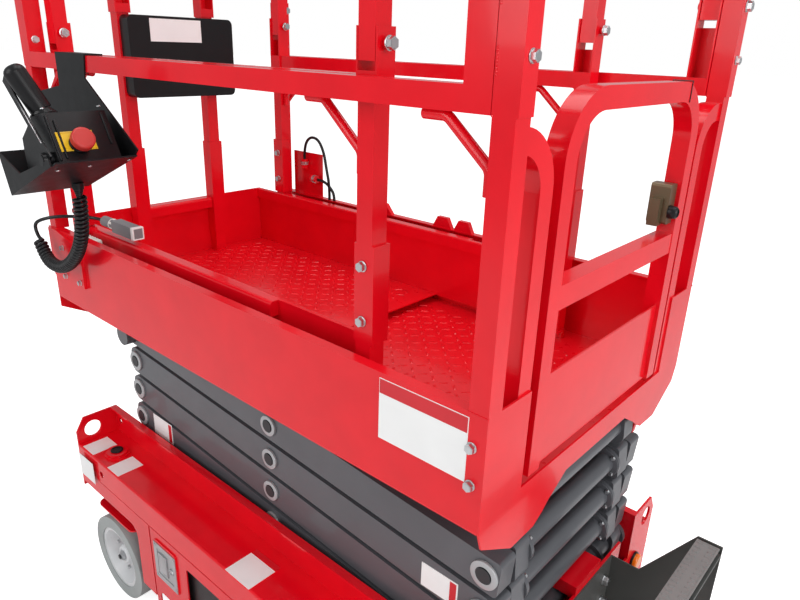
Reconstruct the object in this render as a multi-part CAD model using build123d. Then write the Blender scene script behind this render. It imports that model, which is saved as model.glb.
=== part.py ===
# Small electric slab scissor lift with a roll-out deck extension.
# Millimetres. +X points to the entry ladder (rear), -X to the steered wheels (front),
# +Y to the left side, +Z up. The origin lies on the floor, midway between the axles,
# in the machine's middle plane.
from build123d import *
import math
import os

os.makedirs("parts", exist_ok=True)

# ---------------------------------------------------------------- driving dimensions
# chassis
CHASSIS_LENGTH = 1223
CHASSIS_WIDTH = 760
TRAY_TOP_Z = 398
INNER_WALL_Y = 268          # inner face of the long walls beside the scissor
WALL = 5
WALL_TOP_Z = 470
SKIRT_SHEET = 4
CHASSIS_FLOOR_Z = 62
FLOOR_SHEET = 6
ARCH_TOP_Z = 288
ARCH_HALF = 132             # half the length of a wheel arch
SKIRT_LOW_Z = 120
FRONT_BAY_X = -305          # rear end of the bay for the steered wheels
FRONT_BAY_Y = 200           # inner limit of that bay
FRONT_BAY_TOP_Z = 275
REAR_PLATE_Y = 205          # half width of the rear plate behind the ladder
REAR_PLATE_TOP_Z = 440
REAR_SHOULDER_Z = 355
FRONT_PLATE_TOP_Z = 345
DOOR_TOP_Z = 330
DOOR_FRONT_X = -272
DOOR_REAR_X = 262
DOOR_SHEET = 3
DOOR_GAP = 3

# wheels
WHEELBASE = 931
WHEEL_DIA = 230
WHEEL_WIDTH = 76
WHEEL_OUTER_Y = 378
RIM_DIA = 168
AXLE_DIA = 25
KINGPIN_DIA = 20
KINGPIN_Y = 280
KNUCKLE_EYE_R = 16          # outer radius of the beam's end bosses
RUN_FIT = 0.05              # radial clearance of a shaft in its bore
RIM_WALL = 9
HUB_INNER_Y = 311
HUB_OUTER_Y = 346
CARRIER_Y = 298             # inner face of a knuckle's carrier plate
KNUCKLE_HALF = 56           # half the height of a knuckle about its stub axle
EAR = 13
STEER_ARM = 84
STUD_DIA = 12
FENDER_Z = 240
SIDE_CLEAR = 3

# scissor
ARM_SPAN_X = 1054           # distance between end pins, folded
LEVEL_PITCH = 78            # height of one level, folded
LEVELS = 4
ARM_RIGHT_X = 565
PIN_BASE_Z = 405
ARM_HEIGHT = 68
ARM_THICK = 40
OUTER_ARM_Y = 214           # inner face of the outer arms
INNER_ARM_Y = 168           # inner face of the inner arms
PIN_DIA = 40
ROLLER_DIA = 50
ROLLER_WIDTH = 26
LIFT_TURN = 49.0            # degrees that the lowest arm turns, folded to raised

# platform
DECK_TOP_Z = 800
DECK_SHEET = 3
PLATFORM_FRONT_X = -645
PLATFORM_REAR_X = 608
PLATFORM_HALF_Y = 354
SIDE_TOP_Z = 974
SHEET = 3
MID_RAIL_TOP_Z = 1361
TOP_RAIL_Z = 1920
TUBE = 30
SOCKET_WALL = 3
SOCKET_CLEAR = 1
SOCKET_BASE_Z = 1331
HINGE_BOLT_DIA = 12
POST_FOOT = 22              # length of an upper post below its hinge bolt
GATE_HALF_Y = 222

# extension
EXT_DECK_TOP_Z = 820
EXT_FRONT_X = -675
EXT_REAR_X = 30
EXT_RAIL_Y = 299            # middle of the extension's posts and rails
EXT_POST_FRONT_X = -573
EXT_POST_REAR_X = 354
EXT_TOE_Y = 281             # inner face of the extension's toe boards
EXT_TOE_TOP_Z = 978
EXT_TRAVEL = 600

# hinge heights of the folding rails
FOLD_NEAR_EXT_Z = 1400
FOLD_FAR_EXT_Z = 1436
FOLD_FAR_MAIN_Z = 1478
FOLD_NEAR_MAIN_Z = 1514
FOLD_END_Z = 1550

# ladder
LADDER_HALF_Y = 160
LADDER_REAR_X = 805
LADDER_TOP_Z = 572

# scissor details
ARM_OVERHANG = 26           # arm beyond its end pins
ARM_CORNER = 20
ARM_REAR_CORNER = 8         # at the rear ends, where no wall is near
CROSS_TUBE_DIA = 42
FLANGE_DIA = 62             # collars of the end pins, against the inner arms
FLANGE_THICK = 8
FLANGE_GAP = 0.5
# cross tubes of each inner arm pair: share of the arm's length, height above its line
CROSS_TUBES = {1: [(0.570, 10), (0.86, 0)], 2: [(0.12, 0), (0.8, 0)], 3: [(0.88, 0), (0.5, 0)],
               4: [(0.12, 0), (0.5, 0)]}
ROD_PIN_ALONG = 0.484       # the rod eye's place on the lowest inner arm
ROD_PIN_ABOVE = 60
LUG_GAP_Y = 24
LUG_THICK = 10
TOP_LUG_Y = 214             # inner face of the platform's fixed pivot lugs

# lift cylinder
CYL_FOOT_X = -450
CYL_FOOT_Z = 330
BARREL_DIA = 62
ROD_DIA = 36
EYE_PIN_DIA = 24
FOOT_LUG_Y = 36
FOOT_BEAM_Z = 300           # top of the cross member under the cylinder's foot

# platform details
BRACKET_SHEET = 7
FRONT_LOBE_Z = 770          # where the front plate's lobe meets its outer edge
REAR_BRACE_REACH = 70
LOOP_TOP_Z = 1306           # middle of the loops beside the gate, and their bend
LOOP_BEND = 64
FRONT_SOCKET_Z = 1450       # lower end of the sockets on the extension's front posts
SLEEVE_TOP_Z = 1133
SLEEVE = 38                 # width of the sleeves round the extension's posts
TOE_ROLL = 28               # width and height of the toe boards' rolled top
TOE_ROLL_IN = 7             # how far the roll stands in from its toe board
TOE_ROLL_R = 7
TOE_ROLL_END_X = 120        # rear end of the full-width roll
DOCUMENT_BOX_Z = (1258, 1446)
DOCUMENT_BOX_Y = (-125, 165)
DOCUMENT_BOX_DEPTH = 38
LOBE = [(110, 778), (160, 748), (178, 734), (200, 722), (262, 720), (343, 768)]
GATE_SILL_Z = 820
REAR_POST_Y = 264           # middle of the rear rail's posts
GATE_NEAR_Y = -235          # outer face of the gate's hinge stile
GATE_FAR_Y = 218
GATE_GAP = 17
LOOP = 30
BRACE_DIA = 14
TOP_LUGS = ((-268, -175), (-36, 24), (30, 87))      # ends of the far panel's top lugs
HINGE_BARREL = 12
HINGE_PIN = 6
HINGE_SEAT_GAP = 0.3
GATE_SEAT = 30              # height of a gate hinge's fixed half
GATE_HINGES = ((984, 1075), (1139, 1237))
FRONT_POST_YS = (-115, 115)

# chassis details
TIE_DOWN_Y = 338
TIE_DOWN_Z = 431
CAP_X = -497
CAP_Y = 331
CAP_DIA = 52
REAR_BOX_X = 532
REAR_BOX_Y = (5, 108)
REAR_BOX_Z = (430, 458)
DOOR_BARREL = 8
DOOR_PIN = 4
DOOR_SEAT = 20              # height of a door hinge's fixed half
DOOR_HINGES = (150, 262)

# control box and its tray, which hangs tilted on the near middle rail
STRAP_X = (-468, -343)
STRAP_GAP = 0.3
TRAY_FOOT_X = -403
TRAY_FOOT_Z = 1108
TRAY_TILT = 22.07
TRAY_LENGTH = 234
TRAY_Y = 500
TRAY_LIP = 82
BOX_U = 217                 # the box's far end along the tray
BOX_Y = (-485, -375)
STICK_U = 157
STICK_Y = -462
STICK_DIA = 38
STICK_LENGTH = 84
STICK_LEAN = 20
STOP_DIA = 40
STOP_V = 33
STOP_Y = -442

# cords, as corner points of their routes
CORD_DIA = 8
COIL_DIA = 30
CORD_EXIT = (-365, -392, 1110)
COIL_PATH = [CORD_EXIT, (-365, -392, 1046), (-395, -392, 980), (-455, -392, 930), (-525, -392, 905),
             (-590, -392, 915), (-615, -392, 965)]
LEAD_PATH = [(-615, -392, 965), (-625, -392, 985), (-605, -388, 1000), (-575, -365, 1010),
             (-548, -330, 1010), (-525, -291, 1004), (-486, -291, 1004)]
OUTLET_X = (-585, -462)
OUTLET_TOP_Z = 1096
OUTLET_CORDS = [[(-420, 340, 974), (-420, 340, 1016), (-432, 340, 1060), (-442, 340, 1106), (-466, 340, 1142),
                 (-503, 340, 1144), (-526, 340, 1114), (-526, 340, 1078)],
                [(-470, 340, 1025), (-446, 340, 1025), (-420, 340, 1013), (-400, 340, 993), (-400, 340, 974)]]

HALF_L = CHASSIS_LENGTH / 2
HALF_W = CHASSIS_WIDTH / 2
FRONT_AXLE_X = -WHEELBASE / 2
REAR_AXLE_X = WHEELBASE / 2
WHEEL_R = WHEEL_DIA / 2
RAIL_Y = PLATFORM_HALF_Y - TUBE / 2

# derived places
ARM_LENGTH = math.hypot(ARM_SPAN_X, LEVEL_PITCH)
ARM_SLOPE = math.atan2(LEVEL_PITCH, ARM_SPAN_X)
MAIN_POSTS = (-617, 557)    # posts that carry the main side rails
EXT_POSTS = (EXT_POST_FRONT_X, EXT_POST_REAR_X)
CORNER_X = PLATFORM_REAR_X - TUBE / 2     # middle of the rear corner posts
FRONT_POST_X = EXT_FRONT_X + SHEET + TUBE / 2
GATE_AXIS_X = CORNER_X - TUBE / 2 + 2
GATE_AXIS_Y = GATE_NEAR_Y - GATE_GAP / 2
DOOR_AXIS_X = DOOR_REAR_X - DOOR_GAP / 2
DOOR_AXIS_Y = HALF_W + DOOR_BARREL / 2 + HINGE_SEAT_GAP
# wheels: name, axle x, side sign
WHEELS = [("front_right", FRONT_AXLE_X, -1), ("front_left", FRONT_AXLE_X, 1),
          ("rear_right", REAR_AXLE_X, -1), ("rear_left", REAR_AXLE_X, 1)]


# ---------------------------------------------------------------- helpers
def block(x0, x1, y0, y1, z0, z1):
    """A box from its low and high limits."""
    size = (x1 - x0, y1 - y0, z1 - z0)
    return Pos((x0 + x1) / 2, (y0 + y1) / 2, (z0 + z1) / 2) * Box(*size)


def rod_y(x, z, y0, y1, dia):
    """A round bar along Y."""
    return Pos(x, (y0 + y1) / 2, z) * Rot(90, 0, 0) * Cylinder(dia / 2, y1 - y0)


def rod_x(y, z, x0, x1, dia):
    """A round bar along X."""
    return Pos((x0 + x1) / 2, y, z) * Rot(0, 90, 0) * Cylinder(dia / 2, x1 - x0)


def rod_z(x, y, z0, z1, dia):
    """A round bar along Z."""
    return Pos(x, y, (z0 + z1) / 2) * Cylinder(dia / 2, z1 - z0)


def bar_between(p, q, dia):
    """A round bar between two points."""
    a, b = Vector(*p), Vector(*q)
    plane = Plane(origin=a, z_dir=(b - a).normalized())
    return extrude(plane * Circle(dia / 2), (b - a).length)


def both_sides(shape):
    """The shape and its copy across the machine's middle plane."""
    return [shape, mirror(shape, Plane.XZ)]


def fuse(*shapes):
    """One shape from shapes and lists of shapes."""
    flat = []
    for s in shapes:
        flat.extend(s if isinstance(s, list) else [s])
    result = flat[0]
    for s in flat[1:]:
        result = result + s
    return result


def cut(shape, *tools):
    """The shape without the tools."""
    for t in tools:
        for one in t if isinstance(t, list) else [t]:
            shape = shape - one
    return shape


def solids_of(shape):
    """The solids in a shape or a list of shapes."""
    found = []
    for s in shape if isinstance(shape, (list, tuple)) else [shape]:
        found.extend(s.solids())
    return found


def save(node, shape):
    """Write one node's solids to its file."""
    solids = solids_of(shape)
    whole = solids[0] if len(solids) == 1 else Compound(children=solids)
    export_step(whole, f"parts/{node}.step")


def profile_x(points, x0, x1):
    """A prism along X over an outline of (y, z) points."""
    face = make_face(Plane.YZ * Polyline(*points, close=True))
    return Pos(x0, 0, 0) * extrude(face, x1 - x0)


def profile_y(points, y0, y1):
    """A prism along Y over an outline of (x, z) points."""
    wire = Polyline(*[(x, y0, z) for x, z in points], close=True)
    return extrude(make_face(wire), y1 - y0, dir=(0, 1, 0))


# ---------------------------------------------------------------- chassis
def chassis_tub():
    """Folded-sheet tub: floor, long walls with top flanges, rear and front plates, rear cross box."""
    inside = INNER_WALL_Y
    floor = block(-HALF_L, HALF_L, -inside, inside, CHASSIS_FLOOR_Z, CHASSIS_FLOOR_Z + FLOOR_SHEET)
    wall = block(-HALF_L, HALF_L, inside, inside + WALL, CHASSIS_FLOOR_Z, WALL_TOP_Z)
    flange = block(-HALF_L + WALL, HALF_L - WALL, inside, inside + 18, WALL_TOP_Z - WALL, WALL_TOP_Z)
    bores = [rod_y(ARM_RIGHT_X, PIN_BASE_Z, inside - 1, inside + WALL + 1, PIN_DIA + 2 * RUN_FIT),
             rod_y(REAR_AXLE_X, WHEEL_R, inside - 1, inside + WALL + 1, AXLE_DIA),
             rod_y(-HALF_L + 26, 432, inside - 1, inside + WALL + 1, 16)]
    # the front bay is open for the steered wheels, above and beside them
    bay = block(-HALF_L + WALL, FRONT_BAY_X, FRONT_BAY_Y, inside + WALL + 1, 0, FRONT_BAY_TOP_Z)
    side = cut(fuse(wall, flange), bores, bay)
    floor = cut(floor, both_sides(bay))
    rear = fuse(block(HALF_L - WALL, HALF_L, -REAR_PLATE_Y, REAR_PLATE_Y, CHASSIS_FLOOR_Z, REAR_PLATE_TOP_Z),
                block(HALF_L - WALL, HALF_L, -inside, inside, CHASSIS_FLOOR_Z, REAR_SHOULDER_Z))
    front = block(-HALF_L, -HALF_L + WALL, -inside, inside, CHASSIS_FLOOR_Z, FRONT_PLATE_TOP_Z)
    box = block(REAR_BOX_X, HALF_L - 1, REAR_BOX_Y[0], REAR_BOX_Y[1], REAR_BOX_Z[0], REAR_BOX_Z[1])
    return fuse(floor, both_sides(side), rear, front, box)


def side_skirt():
    """Side tray and skirt with wheel arches, end plates with tie-down holes, filler boss, hinge pins."""
    inner = INNER_WALL_Y + WALL
    tray = block(-HALF_L, HALF_L, inner, HALF_W, TRAY_TOP_Z - SKIRT_SHEET, TRAY_TOP_Z)
    skirt = block(-HALF_L, HALF_L, HALF_W - SKIRT_SHEET, HALF_W, SKIRT_LOW_Z, TRAY_TOP_Z)
    side = fuse(tray, skirt)
    edge = side.edges().filter_by(Axis.X).sort_by(lambda e: e.center().Y + e.center().Z)[-1]
    side = fillet(edge, 5)
    rear_arch = block(REAR_AXLE_X - ARCH_HALF, REAR_AXLE_X + ARCH_HALF, HALF_W - 20, HALF_W + 20, 0, ARCH_TOP_Z)
    rear_arch = fillet(rear_arch.edges().filter_by(Axis.Y).group_by(Axis.Z)[-1], 30)
    front_arch = block(-HALF_L - 1, FRONT_AXLE_X + ARCH_HALF, HALF_W - 20, HALF_W + 20, 0, ARCH_TOP_Z)
    front_arch = fillet(front_arch.edges().filter_by(Axis.Y).group_by(Axis.Z)[-1].sort_by(Axis.X)[-1], 30)
    door = block(DOOR_FRONT_X, DOOR_REAR_X, HALF_W - 20, HALF_W + 20, 0, DOOR_TOP_Z)
    seam = block(FRONT_AXLE_X - 42, HALF_L + 1, HALF_W - 1, HALF_W + 1, DOOR_TOP_Z + 1, DOOR_TOP_Z + 3)
    drain = rod_y(FRONT_AXLE_X - 26, 362, HALF_W - 20, HALF_W + 20, 18)
    side = cut(side, rear_arch, front_arch, door, seam, drain)
    # end plates with tie-down holes, one at each corner
    high, tip = HALF_W, 22
    outline = [(inner, SKIRT_LOW_Z), (high, SKIRT_LOW_Z), (high, WALL_TOP_Z - tip - 14),
               (high - tip, WALL_TOP_Z), (inner, WALL_TOP_Z)]
    for x0 in (-HALF_L, HALF_L - WALL):
        plate = cut(profile_x(outline, x0, x0 + WALL), rod_x(TIE_DOWN_Y, TIE_DOWN_Z, x0 - 5, x0 + WALL + 5, 44))
        if x0 < 0:
            plate = cut(plate, block(x0 - 1, x0 + WALL + 1, inner - 1, HALF_W + 1, 0, ARCH_TOP_Z - 13))
        side = fuse(side, plate)
    boss = rod_z(CAP_X, CAP_Y, TRAY_TOP_Z - 1, TRAY_TOP_Z + 6, CAP_DIA + 8)
    cap = rod_z(CAP_X, CAP_Y, TRAY_TOP_Z + 5, TRAY_TOP_Z + 10, CAP_DIA)
    return fuse(side, boss, cap, door_hinge_pins())


def wheel(axle_x, side):
    """Tyre and rim about the axle at axle_x, dished on the outside, hollow on the inside."""
    outer, inner = WHEEL_OUTER_Y, WHEEL_OUTER_Y - WHEEL_WIDTH
    tyre = cut(rod_y(0, WHEEL_R, inner, outer, WHEEL_DIA), rod_y(0, WHEEL_R, inner - 1, outer + 1, RIM_DIA))
    rim = rod_y(0, WHEEL_R, inner + 2, outer - 3, RIM_DIA)
    well = rod_y(0, WHEEL_R, inner - 1, inner + 20, RIM_DIA - 2 * RIM_WALL)
    dish = Cone(RIM_DIA / 2 - RIM_WALL, 52, 42, align=(Align.CENTER, Align.CENTER, Align.MIN))
    dish = Pos(0, outer - 2.5, WHEEL_R) * Rot(90, 0, 0) * dish
    hub = rod_y(0, WHEEL_R, HUB_INNER_Y, HUB_OUTER_Y, 56)
    bore = rod_y(0, WHEEL_R, inner - 5, outer + 5, AXLE_DIA + 2 * RUN_FIT)
    rim = cut(fuse(cut(rim, well, dish), hub), bore)
    pieces = [Pos(axle_x, 0, 0) * tyre, Pos(axle_x, 0, 0) * rim]
    if side < 0:
        pieces = [mirror(p, Plane.XZ) for p in pieces]
    return pieces


def stub_axle(axle_x, inboard):
    """A stub axle with its nut, from inboard out past the hub."""
    shaft = rod_y(axle_x, WHEEL_R, inboard, HUB_OUTER_Y + 12, AXLE_DIA)
    nut = rod_y(axle_x, WHEEL_R, HUB_OUTER_Y + 0.5, HUB_OUTER_Y + 12, 38)
    return fuse(shaft, nut)


def rear_axle():
    """Fixed stub axle with its mounting block on the long wall."""
    y0 = INNER_WALL_Y + WALL
    mount = block(REAR_AXLE_X - 32, REAR_AXLE_X + 32, y0, HUB_INNER_Y - 6, WHEEL_R - 48, WHEEL_R + 48)
    return fuse(mount, stub_axle(REAR_AXLE_X, INNER_WALL_Y))


def knuckle(side):
    """Steering knuckle: two ears on a kingpin, carrier plate, stub axle, arm and fender plate."""
    x = FRONT_AXLE_X
    low, high = WHEEL_R - KNUCKLE_HALF, WHEEL_R + KNUCKLE_HALF
    carrier = block(x - 24, x + 24, CARRIER_Y, CARRIER_Y + 9, low, high)
    kingpin = rod_z(x, KINGPIN_Y, low, high, KINGPIN_DIA)
    ears = [block(x - 18, x + 18, KINGPIN_Y - 16, CARRIER_Y + 1, z, z + EAR) for z in (low, high - EAR)]
    arm = block(x, x + STEER_ARM + 12, KINGPIN_Y - 12, KINGPIN_Y + 12, low, low + EAR)
    arm = cut(arm, rod_z(x + STEER_ARM, KINGPIN_Y, low - 5, low + EAR + 5, STUD_DIA + 2 * RUN_FIT))
    stem = block(x - 14, x + 14, KINGPIN_Y - 12, KINGPIN_Y + 12, high - 1, FENDER_Z)
    fender = block(x - 91, x + 91, KINGPIN_Y - 12, HALF_W - 5, FENDER_Z, FENDER_Z + 4)
    fender = fillet(fender.edges().filter_by(Axis.Z), 20)
    whole = fuse(carrier, kingpin, ears, arm, stem, fender, stub_axle(x, CARRIER_Y + 2))
    return mirror(whole, Plane.XZ) if side < 0 else whole


def front_axle_beam():
    """Cross beam with a boss at each end that the kingpin turns in."""
    x = FRONT_AXLE_X
    low, high = WHEEL_R - KNUCKLE_HALF + EAR + 1, WHEEL_R + KNUCKLE_HALF - EAR - 1
    beam = block(x - 30, x + 30, -KINGPIN_Y + 40, KINGPIN_Y - 40, CHASSIS_FLOOR_Z + FLOOR_SHEET, high)
    bosses = []
    for s in (-1, 1):
        y0, y1 = sorted((s * (KINGPIN_Y - 42), s * KINGPIN_Y))
        eye = fuse(block(x - KNUCKLE_EYE_R, x + KNUCKLE_EYE_R, y0, y1, low, high),
                   rod_z(x, s * KINGPIN_Y, low, high, 2 * KNUCKLE_EYE_R))
        bosses.append(cut(eye, rod_z(x, s * KINGPIN_Y, low - 1, high + 1, KINGPIN_DIA + 2 * RUN_FIT)))
    return fuse(beam, bosses)


def tie_rod():
    """Rod between the two steering arms, with a ball stud at each end."""
    x, y = FRONT_AXLE_X + STEER_ARM, KINGPIN_Y
    top = WHEEL_R - KNUCKLE_HALF + EAR
    bar = block(x - 9, x + 9, -y - 12, y + 12, top + 2, top + 14)
    return fuse(bar, [rod_z(x, s * y, top - EAR, top + 4, STUD_DIA) for s in (-1, 1)])


# ---------------------------------------------------------------- scissor
def arm_bar(level, outer):
    """One flat bar of a level, in its folded slope, without holes."""
    z_low = PIN_BASE_Z + (level - 1) * LEVEL_PITCH
    left_x = ARM_RIGHT_X - ARM_SPAN_X
    if outer:
        ends = (left_x, z_low + LEVEL_PITCH), (ARM_RIGHT_X, z_low)
        y0 = OUTER_ARM_Y
    else:
        ends = (left_x, z_low), (ARM_RIGHT_X, z_low + LEVEL_PITCH)
        y0 = INNER_ARM_Y
    (xa, za), (xb, zb) = ends
    length = math.hypot(xb - xa, zb - za)
    slope = math.degrees(math.atan2(zb - za, xb - xa))
    bar = Box(length + 2 * ARM_OVERHANG, ARM_THICK, ARM_HEIGHT)
    bar = fillet(bar.edges().filter_by(Axis.Y).sort_by(Axis.X)[:2], ARM_CORNER)
    near_wall = level == 1 if outer else level == LEVELS
    bar = fillet(bar.edges().filter_by(Axis.Y).sort_by(Axis.X)[-2:], ARM_CORNER if near_wall else ARM_REAR_CORNER)
    return Pos((xa + xb) / 2, y0 + ARM_THICK / 2, (za + zb) / 2) * Rot(0, -slope, 0) * bar


def pin_x(side):
    return ARM_RIGHT_X if side == "right" else ARM_RIGHT_X - ARM_SPAN_X


def outer_level(level):
    """Outer arm pair of a level, with its end and centre pins."""
    z_low = PIN_BASE_Z + (level - 1) * LEVEL_PITCH
    z_mid, z_high = z_low + LEVEL_PITCH / 2, z_low + LEVEL_PITCH
    mid_x = ARM_RIGHT_X - ARM_SPAN_X / 2
    reach = OUTER_ARM_Y + ARM_THICK + 4
    bars = both_sides(arm_bar(level, True))
    right_reach = INNER_WALL_Y + WALL - 1 if level == 1 else reach
    pins = [rod_y(pin_x("right"), z_low, -right_reach, right_reach, PIN_DIA)]
    if level < LEVELS:
        pins.append(rod_y(pin_x("left"), z_high, -reach, reach, PIN_DIA))
    else:
        tip = OUTER_ARM_Y + ARM_THICK + 4 + ROLLER_WIDTH
        pins.append(rod_y(pin_x("left"), z_high, -tip, tip, PIN_DIA))
        pins += both_sides(rod_y(pin_x("left"), z_high, tip - ROLLER_WIDTH, tip, ROLLER_DIA))
    centre = both_sides(rod_y(mid_x, z_mid, INNER_ARM_Y - 4, reach, PIN_DIA))
    washer = both_sides(rod_y(mid_x, z_mid, INNER_ARM_Y + ARM_THICK + 0.5, OUTER_ARM_Y, 60))
    flange_y = INNER_ARM_Y - FLANGE_GAP
    flanges = both_sides(rod_y(pin_x("right"), z_low, flange_y - FLANGE_THICK, flange_y, FLANGE_DIA))
    return fuse(bars, pins, centre, washer, flanges)


def inner_level(level):
    """Inner arm pair of a level, bored for the outer arms' pins, with its own cross tube."""
    z_low = PIN_BASE_Z + (level - 1) * LEVEL_PITCH
    z_mid, z_high = z_low + LEVEL_PITCH / 2, z_low + LEVEL_PITCH
    mid_x = ARM_RIGHT_X - ARM_SPAN_X / 2
    bore = PIN_DIA + 2 * RUN_FIT
    y_out = INNER_ARM_Y + ARM_THICK
    bars = both_sides(arm_bar(level, False))
    bores = [rod_y(mid_x, z_mid, -y_out - 5, y_out + 5, bore)]
    tubes = []
    if level == 1:
        tip = OUTER_ARM_Y + 2 + ROLLER_WIDTH
        tubes += both_sides(rod_y(pin_x("left"), z_low, INNER_ARM_Y, tip, PIN_DIA))
        tubes += both_sides(rod_y(pin_x("left"), z_low, tip - ROLLER_WIDTH, tip, ROLLER_DIA))
        tubes.append(rod_lugs())
    else:
        bores.append(rod_y(pin_x("left"), z_low, -y_out - 5, y_out + 5, bore))
    if level < LEVELS:
        bores.append(rod_y(pin_x("right"), z_high, -y_out - 5, y_out + 5, bore))
    else:
        tubes.append(rod_y(pin_x("right"), z_high, -TOP_LUG_Y - 18, TOP_LUG_Y + 18, PIN_DIA))
    for share, drop in CROSS_TUBES[level]:
        x, z = on_inner_arm(z_low, share * ARM_LENGTH, drop)
        tubes.append(rod_y(x, z, -INNER_ARM_Y - 2, INNER_ARM_Y + 2, CROSS_TUBE_DIA))
    return cut(fuse(bars, tubes), bores)


def on_inner_arm(z_low, along, above):
    """Point at a distance along an inner arm from its lower end, and above its line."""
    c, s = math.cos(ARM_SLOPE), math.sin(ARM_SLOPE)
    return pin_x("left") + along * c - above * s, z_low + along * s + above * c


def rod_lugs():
    """Two lugs on the lowest inner arms' cross tube that stand either side of the rod eye."""
    share, above = CROSS_TUBES[1][0]
    tube = on_inner_arm(PIN_BASE_Z, share * ARM_LENGTH, above)
    pin = on_inner_arm(PIN_BASE_Z, ROD_PIN_ALONG * ARM_LENGTH, ROD_PIN_ABOVE)
    lugs = []
    for y0 in (-LUG_GAP_Y - LUG_THICK, LUG_GAP_Y):
        y1 = y0 + LUG_THICK
        plate = make_hull(Circle(26).edges() + (Pos(pin[0] - tube[0], pin[1] - tube[1]) * Circle(24)).edges())
        plate = Plane(origin=(tube[0], y1, tube[1]), x_dir=(1, 0, 0), z_dir=(0, -1, 0)) * plate
        lugs.append(cut(extrude(plate, LUG_THICK), rod_y(pin[0], pin[1], y0 - 1, y1 + 1, 24)))
    return fuse(lugs)


# ---------------------------------------------------------------- lift cylinder
CYL_EYE_X, CYL_EYE_Z = on_inner_arm(PIN_BASE_Z, ROD_PIN_ALONG * ARM_LENGTH, ROD_PIN_ABOVE)
CYL_LENGTH = math.hypot(CYL_EYE_X - CYL_FOOT_X, CYL_EYE_Z - CYL_FOOT_Z)


def along_cylinder(shape):
    """Place a shape drawn along +X from the foot pivot onto the cylinder's own line."""
    slope = math.degrees(math.atan2(CYL_EYE_Z - CYL_FOOT_Z, CYL_EYE_X - CYL_FOOT_X))
    return Pos(CYL_FOOT_X, 0, CYL_FOOT_Z) * Rot(0, -slope, 0) * shape


def lift_barrel():
    """Barrel with its foot eye, hollow for the rod."""
    end = CYL_LENGTH - 62
    body = rod_x(0, 0, 30, end, BARREL_DIA)
    gland = rod_x(0, 0, end - 34, end, BARREL_DIA + 8)
    eye = rod_y(0, 0, -FOOT_LUG_Y + 4, FOOT_LUG_Y - 4, 54)
    web = block(16, 40, -22, 22, -22, 22)
    hollow = rod_x(0, 0, 60, end + 1, ROD_DIA + 2 * RUN_FIT)
    port = rod_z(80, 0, 26, 44, 18)
    bore = rod_y(0, 0, -60, 60, EYE_PIN_DIA + 2 * RUN_FIT)
    return along_cylinder(cut(fuse(body, gland, eye, web, port), bore, hollow))


def lift_rod():
    """Rod with its eye."""
    stem = rod_x(0, 0, 66, CYL_LENGTH - 16, ROD_DIA)
    eye = rod_y(CYL_LENGTH, 0, -LUG_GAP_Y + 6, LUG_GAP_Y - 6, 44)
    return along_cylinder(cut(fuse(stem, eye), rod_y(CYL_LENGTH, 0, -60, 60, EYE_PIN_DIA)))


def scissor_base():
    """Roller rails at the front, pivot bosses at the rear and the cylinder's foot lugs."""
    top = PIN_BASE_Z - ROLLER_DIA / 2 - 0.3
    rails = both_sides(block(-HALF_L + WALL, -20, OUTER_ARM_Y, INNER_WALL_Y, top - 14, top))
    lugs = []
    for y0 in (-FOOT_LUG_Y - 10, FOOT_LUG_Y):
        plate = profile_y([(CYL_FOOT_X - 42, FOOT_BEAM_Z), (CYL_FOOT_X + 42, FOOT_BEAM_Z),
                           (CYL_FOOT_X + 22, CYL_FOOT_Z + 22), (CYL_FOOT_X - 22, CYL_FOOT_Z + 22)], y0, y0 + 10)
        lugs.append(plate)
    cross = block(CYL_FOOT_X - 50, CYL_FOOT_X + 50, -INNER_WALL_Y, INNER_WALL_Y, FOOT_BEAM_Z - 22, FOOT_BEAM_Z)
    pin = rod_y(CYL_FOOT_X, CYL_FOOT_Z, -FOOT_LUG_Y - 14, FOOT_LUG_Y + 14, EYE_PIN_DIA)
    bore = rod_y(ARM_RIGHT_X, PIN_BASE_Z, -300, 300, PIN_DIA + 2 * RUN_FIT)
    bosses = both_sides(cut(rod_y(ARM_RIGHT_X, PIN_BASE_Z, OUTER_ARM_Y + ARM_THICK + 4, INNER_WALL_Y, 64), bore))
    return [rails[0], rails[1], fuse(cross, lugs, pin)] + bosses


# ---------------------------------------------------------------- platform
def side_panel(side):
    """Main side panel with a rolled top lip, the front corner's bracket, and the far side's top lugs."""
    y, rear = PLATFORM_HALF_Y, PLATFORM_REAR_X - SHEET
    sheet = block(PLATFORM_FRONT_X, rear, y - SHEET, y, DECK_TOP_Z, SIDE_TOP_Z)
    lip = block(PLATFORM_FRONT_X + 40, rear - TUBE, y - 18, y, SIDE_TOP_Z - SHEET, SIDE_TOP_Z)
    panel = fuse(sheet, lip)
    front = PLATFORM_FRONT_X + 14
    outline = [(front, DECK_TOP_Z + 58), (-478, DECK_TOP_Z + 58), (-478, 952), (-590, SIDE_TOP_Z),
               (front, SIDE_TOP_Z)]
    panel = fuse(panel, profile_y(outline, y - 0.5, y + BRACKET_SHEET))
    if side < 0:
        return mirror(panel, Plane.XZ)
    for x0, x1 in TOP_LUGS:
        slope = (x1 - x0) / 4
        outline = [(x0, SIDE_TOP_Z - 1), (x0 + slope, SIDE_TOP_Z + 26), (x1 - slope, SIDE_TOP_Z + 26),
                   (x1, SIDE_TOP_Z - 1)]
        panel = fuse(panel, profile_y(outline, y - 16, y - 4))
    return panel


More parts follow.
